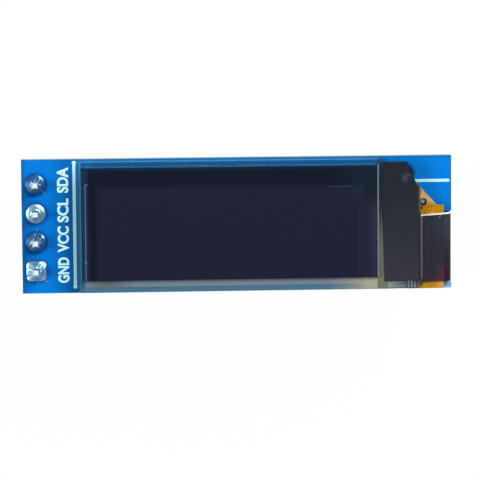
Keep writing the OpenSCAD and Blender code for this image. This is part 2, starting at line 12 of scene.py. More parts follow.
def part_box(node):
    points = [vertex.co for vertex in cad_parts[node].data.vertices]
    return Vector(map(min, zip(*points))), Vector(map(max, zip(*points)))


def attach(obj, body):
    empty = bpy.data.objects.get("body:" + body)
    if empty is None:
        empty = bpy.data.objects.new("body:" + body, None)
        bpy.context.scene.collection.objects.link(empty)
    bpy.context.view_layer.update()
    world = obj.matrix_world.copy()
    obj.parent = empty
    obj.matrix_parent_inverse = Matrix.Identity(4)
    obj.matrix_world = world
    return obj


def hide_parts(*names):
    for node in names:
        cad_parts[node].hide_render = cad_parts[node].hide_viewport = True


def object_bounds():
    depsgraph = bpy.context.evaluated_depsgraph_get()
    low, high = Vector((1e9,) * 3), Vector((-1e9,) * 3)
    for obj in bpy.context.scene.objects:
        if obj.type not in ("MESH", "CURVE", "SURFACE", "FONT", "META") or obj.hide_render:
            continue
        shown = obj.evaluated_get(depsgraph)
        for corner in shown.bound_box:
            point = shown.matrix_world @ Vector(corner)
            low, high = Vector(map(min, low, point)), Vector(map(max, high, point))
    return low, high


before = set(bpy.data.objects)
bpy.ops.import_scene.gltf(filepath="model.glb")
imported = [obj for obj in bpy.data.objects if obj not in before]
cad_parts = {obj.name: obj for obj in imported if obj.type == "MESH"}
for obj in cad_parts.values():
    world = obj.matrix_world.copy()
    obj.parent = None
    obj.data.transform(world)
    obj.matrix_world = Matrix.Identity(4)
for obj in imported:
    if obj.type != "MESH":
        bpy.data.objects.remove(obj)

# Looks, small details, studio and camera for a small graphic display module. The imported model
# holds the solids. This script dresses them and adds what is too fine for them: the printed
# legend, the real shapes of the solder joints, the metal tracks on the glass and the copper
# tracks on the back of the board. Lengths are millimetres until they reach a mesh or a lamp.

MM = 0.001
BODY = "root"
CAD_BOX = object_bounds()
LOG = logging.getLogger("display_module")
ROUND_SIDES = 16  # sides of the disc at each end of a strip
TOUCH = 0.01  # length that makes a strip into a disc
BEYOND = 9.0  # reaches past the board on every side
LEVEL = 0.6  # a normal's upright share above which a face counts as level
WELD_GAP = 0.001  # vertices closer than this are one
DENT_DEPTH = 0.76  # share of its height that a joint loses in the middle of a dent
DUST_SHARE = 0.8  # cells with a higher random number than this hold a speck

Rgb = tuple[float, float, float]
Route = list[tuple[float, float]]
Socket = bpy.types.NodeSocket
Value = Union[float, Sequence[float], Socket]


def paint(red: int, green: int, blue: int) -> Rgb:
    """Turns a screen colour into the linear colour that a shader takes.

    Args:
        red: Red from 0 to 255.
        green: Green from 0 to 255.
        blue: Blue from 0 to 255.

    Returns:
        The linear colour, each part from 0 to 1.
    """
    shares = (red / 255, green / 255, blue / 255)
    return tuple(s / 12.92 if s <= 0.04045 else ((s + 0.055) / 1.055) ** 2.4 for s in shares)


# --- places on the board ---------------------------------------------------------------------


@dataclass(frozen=True)
class BoardPlane:
    """Places measured from the board's corner at the header, along, across and above it."""

    corner: Vector
    front: float
    back: float
    length: float
    width: float

    @classmethod
    def of_model(cls) -> "BoardPlane":
        """Reads the board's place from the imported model."""
        low, high = (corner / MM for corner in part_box("board"))
        return cls(Vector((low.x, low.y)), high.z, low.z, high.x - low.x, high.y - low.y)

    def spot(self, along: float, across: float, above: float = 0.0) -> Vector:
        """A point in millimetres in the model's own frame.

        Args:
            along: Distance from the header end of the board.
            across: Distance from the near long edge of the board.
            above: Height above the front face of the board.

        Returns:
            The point.
        """
        return Vector((self.corner.x + along, self.corner.y + across, self.front + above))


@dataclass(frozen=True)
class Span:
    """The box of one or more nodes, in millimetres."""

    low: Vector
    high: Vector

    @classmethod
    def of(cls, *nodes: str) -> "Span":
        """The box round the named nodes."""
        boxes = [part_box(node) for node in nodes]
        low = Vector([min(box[0][k] for box in boxes) / MM for k in range(3)])
        high = Vector([max(box[1][k] for box in boxes) / MM for k in range(3)])
        return cls(low, high)

    @property
    def middle(self) -> Vector:
        """The middle of the box."""
        return (self.low + self.high) / 2

    @property
    def size(self) -> Vector:
        """The three sides of the box."""
        return self.high - self.low


# --- shader graphs ---------------------------------------------------------------------------


class Graph:
    """Adds nodes to one shader tree and joins them."""

    def __init__(self, tree: bpy.types.NodeTree) -> None:
        """Takes the tree that the nodes go into."""
        self.tree = tree

    def node(self, kind: str, **settings: object) -> bpy.types.Node:
        """Adds a node.

        Args:
            kind: The node's type name.
            settings: Attributes to set on it.

        Returns:
            The node.
        """
        node = self.tree.nodes.new(kind)
        for name, value in settings.items():
            setattr(node, name, value)
        return node

    def feed(self, socket: Socket, value: Value) -> None:
        """Links a socket to another one, or sets its value."""
        if isinstance(value, bpy.types.NodeSocket):
            self.tree.links.new(value, socket)
        elif socket.type == "RGBA" and len(value) == 3:
            socket.default_value = (*value, 1.0)
        else:
            socket.default_value = value

    def math(self, operation: str, *values: Value, clamp: bool = False) -> Socket:
        """A sum on plain numbers."""
        node = self.node("ShaderNodeMath", operation=operation, use_clamp=clamp)
        for socket, value in zip(node.inputs, values):
            self.feed(socket, value)
        return node.outputs[0]

    def vector_math(
        self, operation: str, *values: Value, scale: Optional[float] = None
    ) -> bpy.types.Node:
        """A sum on vectors."""
        node = self.node("ShaderNodeVectorMath", operation=operation)
        for socket, value in zip(node.inputs, values):
            self.feed(socket, value)
        if scale is not None:
            node.inputs["Scale"].default_value = scale
        return node

    def blend(self, factor: Value, first: Value, second: Value, way: str = "MIX") -> Socket:
        """Mixes two colours.

        Args:
            factor: Share of the second colour.
            first: The first colour.
            second: The second colour.
            way: How they are mixed.

        Returns:
            The mixed colour.
        """
        node = self.node("ShaderNodeMix", data_type="RGBA", blend_type=way)
        self.feed(node.inputs[0], factor)
        self.feed(node.inputs[6], first)
        self.feed(node.inputs[7], second)
        return node.outputs[2]

    def parts(self, vector: Socket) -> bpy.types.NodeOutputs:
        """The three numbers of a vector."""
        node = self.node("ShaderNodeSeparateXYZ")
        self.feed(node.inputs[0], vector)
        return node.outputs

    def point(self) -> Socket:
        """The place on the piece, in millimetres in the model's frame."""
        coordinates = self.node("ShaderNodeTexCoord").outputs["Object"]
        return self.vector_math("SCALE", coordinates, scale=1 / MM).outputs[0]

    def turned(self, point: Socket, pivot: Vector, angle: float) -> Socket:
        """A place measured from a pivot, along axes turned by an angle about Z."""
        offset = self.vector_math("SUBTRACT", point, tuple(pivot)).outputs[0]
        node = self.node("ShaderNodeVectorRotate", rotation_type="Z_AXIS")
        self.feed(node.inputs["Vector"], offset)
        node.inputs["Angle"].default_value = -angle
        return node.outputs[0]

    def facing_up(self) -> Socket:
        """1 on faces that look up or down, and 0 on upright ones."""
        upright = self.parts(self.node("ShaderNodeNewGeometry").outputs["Normal"])["Z"]
        return self.math("GREATER_THAN", self.math("ABSOLUTE", upright), LEVEL)

    def effect(self, tree: bpy.types.NodeTree, **inputs: Value) -> bpy.types.NodeOutputs:
        """Places a shared effect.

        Args:
            tree: The effect's node group.
            inputs: Its inputs by name.

        Returns:
            Its outputs.
        """
        node = self.node("ShaderNodeGroup", node_tree=tree)
        for name, value in inputs.items():
            self.feed(node.inputs[name], value)
        return node.outputs


class Effects:
    """The shared effects, each built once as a node group."""

    def __init__(self) -> None:
        """Builds all the groups."""
        self.patches = self._patches()
        self.rectangle = self._rectangle()
        self.disc = self._disc()
        self.specks = self._specks()

    @staticmethod
    def _group(name: str, inputs: dict[str, str], outputs: dict[str, str]) -> tuple:
        """Starts a group.

        Args:
            name: The group's name.
            inputs: Input names and their socket types.
            outputs: Output names and their socket types.

        Returns:
            The tree, its graph, its input sockets and its output sockets.
        """
        tree = bpy.data.node_groups.new(name, "ShaderNodeTree")
        for socket, kind in inputs.items():
            tree.interface.new_socket(socket, in_out="INPUT", socket_type=kind)
        for socket, kind in outputs.items():
            tree.interface.new_socket(socket, in_out="OUTPUT", socket_type=kind)
        graph = Graph(tree)
        entry = graph.node("NodeGroupInput")
        leave = graph.node("NodeGroupOutput")
        return tree, graph, entry.outputs, leave.inputs

    def _patches(self) -> bpy.types.NodeTree:
        """Broad soft patches and a fine grain, as on any moulded, rolled or printed surface."""
        tree, graph, given, out = self._group(
            "soft_patches_and_grain",
            {"Point": "NodeSocketVector", "Patches": "NodeSocketFloat",
             "Grains": "NodeSocketFloat"},
            {"Patch": "NodeSocketFloat", "Grain": "NodeSocketFloat"},
        )
        for scale, detail, name in (("Patches", 2.0, "Patch"), ("Grains", 4.0, "Grain")):
            cloud = graph.node("ShaderNodeTexNoise")
            graph.feed(cloud.inputs["Vector"], given["Point"])
            graph.feed(cloud.inputs["Scale"], given[scale])
            cloud.inputs["Detail"].default_value = detail
            graph.feed(out[name], cloud.outputs[0])
        return tree

    def _rectangle(self) -> bpy.types.NodeTree:
        """A soft-edged rectangle along X and Y."""
        tree, graph, given, out = self._group(
            "soft_rectangle",
            {"Point": "NodeSocketVector", "Middle": "NodeSocketVector",
             "Half": "NodeSocketVector", "Softness": "NodeSocketVector"},
            {"Mask": "NodeSocketFloat"},
        )
        offset = graph.vector_math("SUBTRACT", given["Point"], given["Middle"]).outputs[0]
        distance = graph.vector_math("ABSOLUTE", offset).outputs[0]
        inside = graph.vector_math("SUBTRACT", given["Half"], distance).outputs[0]
        slope = graph.parts(graph.vector_math("DIVIDE", inside, given["Softness"]).outputs[0])
        sides = [graph.math("ADD", slope[axis], 0.5, clamp=True) for axis in ("X", "Y")]
        graph.feed(out["Mask"], graph.math("MULTIPLY", *sides))
        return tree

    def _disc(self) -> bpy.types.NodeTree:
        """A soft-edged disc in the plane of X and Y."""
        tree, graph, given, out = self._group(
            "soft_disc",
            {"Point": "NodeSocketVector", "Middle": "NodeSocketVector",
             "Radius": "NodeSocketFloat", "Softness": "NodeSocketFloat"},
            {"Mask": "NodeSocketFloat"},
        )
        offset = graph.vector_math("SUBTRACT", given["Point"], given["Middle"]).outputs[0]
        level = graph.vector_math("MULTIPLY", offset, (1.0, 1.0, 0.0)).outputs[0]
        distance = graph.vector_math("LENGTH", level).outputs["Value"]
        inside = graph.math("SUBTRACT", given["Radius"], distance)
        graph.feed(
            out["Mask"],
            graph.math("ADD", graph.math("DIVIDE", inside, given["Softness"]), 0.5, clamp=True),
        )
        return tree

    def _specks(self) -> bpy.types.NodeTree:
        """Scattered specks of dust."""
        tree, graph, given, out = self._group(
            "dust_specks",
            {"Point": "NodeSocketVector", "Scale": "NodeSocketFloat", "Radius": "NodeSocketFloat"},
            {"Mask": "NodeSocketFloat"},
        )
        cells = graph.node("ShaderNodeTexVoronoi")
        graph.feed(cells.inputs["Vector"], given["Point"])
        graph.feed(cells.inputs["Scale"], given["Scale"])
        near = graph.math("LESS_THAN", cells.outputs["Distance"], given["Radius"])
        chosen = graph.math("GREATER_THAN", graph.parts(cells.outputs["Color"])[0], DUST_SHARE)
        graph.feed(out["Mask"], graph.math("MULTIPLY", near, chosen))
        return tree


EFFECTS = Effects()


# --- finishes --------------------------------------------------------------------------------


@dataclass(frozen=True)
class Finish:
    """A surface with a colour, a shine and the fine unevenness of its kind.

    Attributes:
        name: The material's name.
        color: Its colour.
        roughness: How matt it is.
        metallic: 1 for bare metal.
        specular: Strength of the shine on a surface that isn't metal.
        alpha: How solid it looks.
        stray: How far its patches stray from the colour, as a share of it.
        patch: Size of a patch, in millimetres.
        grain: Size of a grain, in millimetres.
        depth: Depth of the grain, in millimetres.
        haze: How much more matt the patches are.
    """

    name: str
    color: Rgb
    roughness: float = 0.4
    metallic: float = 0.0
    specular: float = 0.5
    alpha: float = 1.0
    stray: float = 0.1
    patch: float = 1.6
    grain: float = 0.09
    depth: float = 0.002
    haze: float = 0.08

    def build(self) -> bpy.types.Material:
        """Makes the material."""
        material = bpy.data.materials.new(self.name)
        material.use_nodes = True
        graph = Graph(material.node_tree)
        surface = material.node_tree.nodes["Principled BSDF"]
        point = graph.point()
        cloud = graph.effect(
            EFFECTS.patches, Point=point, Patches=1 / self.patch, Grains=1 / self.grain)
        darker = tuple(part * (1 - self.stray) for part in self.color)
        lighter = tuple(part * (1 + self.stray) for part in self.color)
        color = self.dress_color(graph, point, graph.blend(cloud["Patch"], darker, lighter))
        graph.feed(surface.inputs["Base Color"], color)
        swing = graph.math(
            "MULTIPLY_ADD", cloud["Patch"], 2 * self.haze, self.roughness - self.haze)
        graph.feed(surface.inputs["Roughness"], swing)
        graph.feed(surface.inputs["Metallic"], self.dress_metal(graph, point))
        graph.feed(surface.inputs["Alpha"], self.dress_alpha(graph, point))
        surface.inputs["Specular IOR Level"].default_value = self.specular
        bump = graph.node("ShaderNodeBump")
        bump.inputs["Distance"].default_value = self.depth * MM
        graph.feed(bump.inputs["Height"], self.dress_height(graph, point, cloud["Grain"]))
        graph.feed(surface.inputs["Normal"], bump.outputs[0])
        return material

    def dress_color(self, graph: Graph, point: Socket, color: Socket) -> Value:
        """Adds this finish's own marks to its colour."""
        return color

    def dress_metal(self, graph: Graph, point: Socket) -> Value:
        """How metallic each place is."""
        return self.metallic

    def dress_alpha(self, graph: Graph, point: Socket) -> Value:
        """How solid each place looks."""
        return self.alpha

    def dress_height(self, graph: Graph, point: Socket, height: Socket) -> Socket:
        """Adds this finish's own relief to its grain."""
        return height


@dataclass(frozen=True)
class Mark:
    """A soft-edged rectangle of another colour, placed from the board's corner.

    Attributes:
        start: Its corner nearest the board's corner, along and across the board.
        end: Its opposite corner.
        color: Its colour.
        softness: Width over which its edges fade, one number or one along and one across.
        strength: How much it covers what is under it.
        turn: Angle in degrees by which it is turned about its middle.
    """

    start: tuple[float, float]
    end: tuple[float, float]
    color: Rgb
    softness: Union[float, tuple[float, float]] = 0.05
    strength: float = 1.0
    turn: float = 0.0

    def mask(self, graph: Graph, point: Socket, plane: BoardPlane) -> Socket:
        """The share of this mark at each place."""
        low = plane.spot(*self.start)
        high = plane.spot(*self.end)
        middle = (low + high) / 2
        fade = self.softness if isinstance(self.softness, tuple) else (self.softness,) * 2
        if self.turn:
            point = graph.turned(point, middle, math.radians(self.turn))
            middle = Vector()
        mask = graph.effect(
            EFFECTS.rectangle, Point=point, Middle=tuple(middle),
            Half=tuple((high - low) / 2), Softness=(*fade, 1.0))["Mask"]
        return graph.math("MULTIPLY", mask, self.strength)

    def over(self, graph: Graph, point: Socket, plane: BoardPlane, color: Value) -> Socket:
        """Lays this mark over a colour."""
        return graph.blend(self.mask(graph, point, plane), color, self.color)


@dataclass(frozen=True)
class Spot(Mark):
    """A soft-edged disc of another colour, in the middle of its corners."""

    @classmethod
    def at(cls, middle: tuple[float, float], radius: float, color: Rgb,
           softness: float = 0.05, strength: float = 1.0) -> "Spot":
        """A spot round a place on the board."""
        start = (middle[0] - radius, middle[1] - radius)
        end = (middle[0] + radius, middle[1] + radius)
        return cls(start, end, color, softness, strength)

    def mask(self, graph: Graph, point: Socket, plane: BoardPlane) -> Socket:
        """The share of this spot at each place."""
        low = plane.spot(*self.start)
        high = plane.spot(*self.end)
        mask = graph.effect(
            EFFECTS.disc, Point=point, Middle=tuple((low + high) / 2),
            Radius=(high.x - low.x) / 2, Softness=self.softness)["Mask"]
        return graph.math("MULTIPLY", mask, self.strength)


@dataclass(frozen=True)
class MarkedFinish(Finish):
    """A finish with marks in places of their own, each laid over the ones before it."""

    plane: Optional[BoardPlane] = None
    marks: tuple[Mark, ...] = ()

    def dress_color(self, graph: Graph, point: Socket, color: Socket) -> Value:
        """Lays the marks over the colour, in order, in front of the middle of the board."""
        marked = color
        for mark in self.marks:
            marked = mark.over(graph, point, self.plane, marked)
        middle = (self.plane.front + self.plane.back) / 2
        in_front = graph.math("GREATER_THAN", graph.parts(point)["Z"], middle)
        return graph.blend(in_front, color, marked)


@dataclass(frozen=True)
class SolderMask(MarkedFinish):
    """Glossy blue lacquer on both faces, with bare laminate on the cut edges."""

    edge: Rgb = paint(112, 128, 118)

    def dress_color(self, graph: Graph, point: Socket, color: Socket) -> Value:
        """Shades the lacquer and shows the laminate at the edges."""
        color = super().dress_color(graph, point, color)
        return graph.blend(graph.facing_up(), self.edge, color)


@dataclass(frozen=True)
class PinWithPaintedTipLight(Finish):
    """Tinned pin metal, with a painted highlight: pale and matt on its cut ends."""

    # the pale colour of the cut ends, a painted highlight
    cut: Rgb = paint(226, 244, 250)

    def dress_color(self, graph: Graph, point: Socket, color: Socket) -> Value:
        """Paints the highlight on the cut ends."""
        return graph.blend(graph.facing_up(), color, self.cut)

    def dress_metal(self, graph: Graph, point: Socket) -> Value:
        """Leaves the cut ends matt, so that their painted highlight shows."""
        return graph.math("SUBTRACT", 1.0, graph.math("MULTIPLY", graph.facing_up(), 0.85))


@dataclass(frozen=True)
class ScreenFilm(MarkedFinish):
    """The dark polarizing film, with what shows dimly through it and a little dust on it."""

    def dress_color(self, graph: Graph, point: Socket, color: Socket) -> Value:
        """Lays the marks and the dust over the dark film."""
        color = super().dress_color(graph, point, color)
        dust = graph.effect(EFFECTS.specks, Point=point, Scale=0.9, Radius=0.022)["Mask"]
        return graph.blend(graph.math("MULTIPLY", dust, 0.16), color, paint(150, 155, 175))


@dataclass(frozen=True)
class PanelGlass(MarkedFinish):
    """Thin clear glass: a faint tint, with a painted highlight along its cut edges and what lies
    behind them.
    """

    span: Optional[Span] = None
    # the colour of the painted highlight on the cut edges
    edge: Rgb = paint(120, 158, 176)
    edge_width: float = 0.06
    edge_alpha: float = 0.4
    clear_from: Optional[tuple[float, float]] = None

    def _rim(self, graph: Graph, point: Socket) -> Socket:
        """1 along the cut edges and 0 inside them, or where the edges don't show."""
        half = self.span.size / 2 - Vector((self.edge_width, self.edge_width, 0))
        inside = graph.effect(
            EFFECTS.rectangle, Point=point, Middle=tuple(self.span.middle),
            Half=tuple(half), Softness=(self.edge_width, self.edge_width, 1.0))["Mask"]
        rim = graph.math("SUBTRACT", 1.0, inside)
        if self.clear_from:
            beyond = (self.plane.length + BEYOND, self.plane.width + BEYOND)
            hidden = Mark(self.clear_from, beyond, self.edge, 0.1).mask(graph, point, self.plane)
            rim = graph.math("MULTIPLY", rim, graph.math("SUBTRACT", 1.0, hidden))
        return rim

    def dress_color(self, graph: Graph, point: Socket, color: Socket) -> Value:
        """Paints the highlight on the cut edges and lays the marks over them."""
        rimmed = graph.blend(self._rim(graph, point), color, self.edge)
        return super().dress_color(graph, point, rimmed)

    def dress_alpha(self, graph: Graph, point: Socket) -> Value:
        """Makes the cut edges and the marks more solid."""
        solid = graph.math(
            "MULTIPLY_ADD", self._rim(graph, point), self.edge_alpha - self.alpha, self.alpha)
        for mark in self.marks:
            solid = graph.math("MAXIMUM", solid, mark.mask(graph, point, self.plane))
        return solid


@dataclass(frozen=True)
class PanelGlue(MarkedFinish):
    """Clear glue between the glasses, more solid where its marks are."""

    def dress_alpha(self, graph: Graph, point: Socket) -> Value:
        """Makes the thick glue more solid."""
        solid: Value = self.alpha
        for mark in self.marks:
            solid = graph.math("MAXIMUM", solid, mark.mask(graph, point, self.plane))
        return solid


@dataclass(frozen=True)
class AmberFilm(MarkedFinish):
    """Amber flexible film over copper tracks, with glints."""

    copper: Rgb = paint(140, 92, 20)
    track_pitch: float = 0.36

    def dress_color(self, graph: Graph, point: Socket, color: Socket) -> Value:
        """Adds the tracks inside and the glints, under the marks."""
        across = graph.parts(point)["Y"]
        wave = graph.math("SINE", graph.math("MULTIPLY", across, 2 * math.pi / self.track_pitch))
        tracks = graph.math("MULTIPLY", graph.math("GREATER_THAN", wave, 0.0), 0.22)
        color = graph.blend(tracks, color, self.copper)
        gloss = graph.effect(EFFECTS.patches, Point=point, Patches=2.6, Grains=6.0)
        rise = graph.math("MULTIPLY_ADD", gloss["Patch"], 7.0, -4.0, clamp=True)
        color = graph.blend(graph.math("MULTIPLY", rise, 0.35), color, paint(236, 188, 60))
        return super().dress_color(graph, point, color)


@dataclass(frozen=True)
class BlackTape(MarkedFinish):
    """Thin black tape with a pressed weave, soft wrinkles and, if asked, a pale far edge."""

    pivot: tuple[float, float, float] = (0.0, 0.0, 0.0)
    turn: float = 0.0
    half_width: float = 3.0
    edge: Rgb = paint(232, 232, 214)
    edge_width: float = 0.0

    def dress_color(self, graph: Graph, point: Socket, color: Socket) -> Value:
        """Lays the marks over the tape and picks out its edge."""
        color = super().dress_color(graph, point, color)
        if not self.edge_width:
            return color
        local = graph.parts(graph.turned(point, Vector(self.pivot), self.turn))
        inside = graph.math("SUBTRACT", self.half_width - self.edge_width, local["Y"])
        return graph.blend(graph.math("LESS_THAN", inside, 0.0), color, self.edge)

    def dress_height(self, graph: Graph, point: Socket, height: Socket) -> Socket:
        """Adds long soft wrinkles to the grain."""
        wrinkle = graph.effect(EFFECTS.patches, Point=point, Patches=0.7, Grains=1.4)["Grain"]
        return graph.math("MULTIPLY_ADD", wrinkle, 6.0, height)


@dataclass(frozen=True)
class ChipPart(Finish):
    """A ceramic chip part with a tinned cap on each end."""

    middle: float = 0.0
    body_half: float = 0.5
    cap: Rgb = paint(205, 207, 210)

    def _cap_mask(self, graph: Graph, point: Socket) -> Socket:
        """1 on the end caps."""
        offset = graph.math("SUBTRACT", graph.parts(point)["X"], self.middle)
        return graph.math("GREATER_THAN", graph.math("ABSOLUTE", offset), self.body_half)

    def dress_color(self, graph: Graph, point: Socket, color: Socket) -> Value:
        """Tins the caps."""
        return graph.blend(self._cap_mask(graph, point), color, self.cap)

    def dress_metal(self, graph: Graph, point: Socket) -> Value:
        """Only the caps are metal."""
        return self._cap_mask(graph, point)


# --- meshes ----------------------------------------------------------------------------------


class Shade(Enum):
    """How a new piece's faces meet."""

    FLAT = 0.0
    CRISP = math.radians(35)
    ROUND = math.pi


def add_piece(name: str, shape: bmesh.types.BMesh, material: bpy.types.Material,
              replaced: Iterable[str] = (), shade: Shade = Shade.CRISP) -> bpy.types.Object:
    """Turns a finished shape, in millimetres, into a piece of the object.

    Args:
        name: The piece's name.
        shape: Its shape, which is used up.
        material: Its material.
        replaced: The nodes that it stands for.
        shade: How its faces meet.

    Returns:
        The new object.
    """
    bmesh.ops.transform(shape, matrix=Matrix.Scale(MM, 4), verts=shape.verts)
    mesh = bpy.data.meshes.new(name)
    shape.to_mesh(mesh)
    shape.free()
    mesh.polygons.foreach_set("use_smooth", [shade is not Shade.FLAT] * len(mesh.polygons))
    if shade is Shade.CRISP:
        mesh.set_sharp_from_angle(angle=shade.value)
    mesh.materials.append(material)
    piece = bpy.data.objects.new(name, mesh)
    bpy.context.scene.collection.objects.link(piece)
    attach(piece, BODY)
    if replaced:
        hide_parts(*replaced)
    LOG.info("made %s with %d faces", name, len(mesh.polygons))
    return piece


def dress(node: str, material: bpy.types.Material, bevel: float = 0.0,
          shade: Shade = Shade.FLAT) -> None:
    """Gives a node of the model its material and softens its sharp edges.

    Args:
        node: The node's name.
        material: Its material.
        bevel: Width of the softened edges, or 0 to leave them sharp.
        shade: How its faces meet.
    """
    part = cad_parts[node]
    part.data.materials.clear()
    part.data.materials.append(material)
    if bevel or shade is not Shade.FLAT:
        weld = part.modifiers.new("weld", "WELD")
        weld.merge_threshold = WELD_GAP * MM
    if bevel:
        soften = part.modifiers.new("soften", "BEVEL")
        soften.width = bevel * MM
        soften.segments = 2
        soften.limit_method = "ANGLE"
        soften.angle_limit = Shade.CRISP.value
    if shade is not Shade.FLAT:
        even = part.modifiers.new("even", "WEIGHTED_NORMAL")
        even.keep_sharp = True
    smooth = [shade is not Shade.FLAT] * len(part.data.polygons)
    part.data.polygons.foreach_set("use_smooth", smooth)
    LOG.info("dressed %s in %s", node, material.name)


def strip(
    shape: bmesh.types.BMesh, start: Vector, end: Vector, width: float, height: float
) -> None:
    """Adds a round-ended strip that stands on the plane through its two ends.

    Args:
        shape: The shape that it is added to.
        start: The middle of its first rounded end.
        end: The middle of its other rounded end.
        width: Its width.
        height: How far it stands up, or down where this is negative.
    """
    disc = bmesh.ops.create_circle(
        shape, cap_ends=True, segments=ROUND_SIDES, radius=width / 2)["verts"]
    run = end - start
    half = run.length / 2
    for corner in disc:
        if abs(corner.co.x) > width * 0.01:
            corner.co.x += math.copysign(half, corner.co.x)
    turn = Matrix.Rotation(math.atan2(run.y, run.x), 4, "Z")
    bmesh.ops.transform(shape, matrix=Matrix.Translation((start + end) / 2) @ turn, verts=disc)
    face = disc[0].link_faces[0]
    lifted = bmesh.ops.extrude_face_region(shape, geom=[face], use_keep_orig=True)["geom"]
    raised = [item for item in lifted if isinstance(item, bmesh.types.BMVert)]
    bmesh.ops.translate(shape, vec=(0, 0, height), verts=raised)
    bmesh.ops.recalc_face_normals(shape, faces=list({f for v in disc + raised for f in v.link_faces}))


def route(
    shape: bmesh.types.BMesh, points: Sequence[Vector], width: float, height: float
) -> None:
    """Adds round-ended strips from point to point, neighbours not quite as high as each other."""
    for index, (start, end) in enumerate(zip(points, points[1:])):
        strip(shape, start, end, width, height * (1 + 0.1 * (index % 2)))


# --- the board and its legend ----------------------------------------------------------------


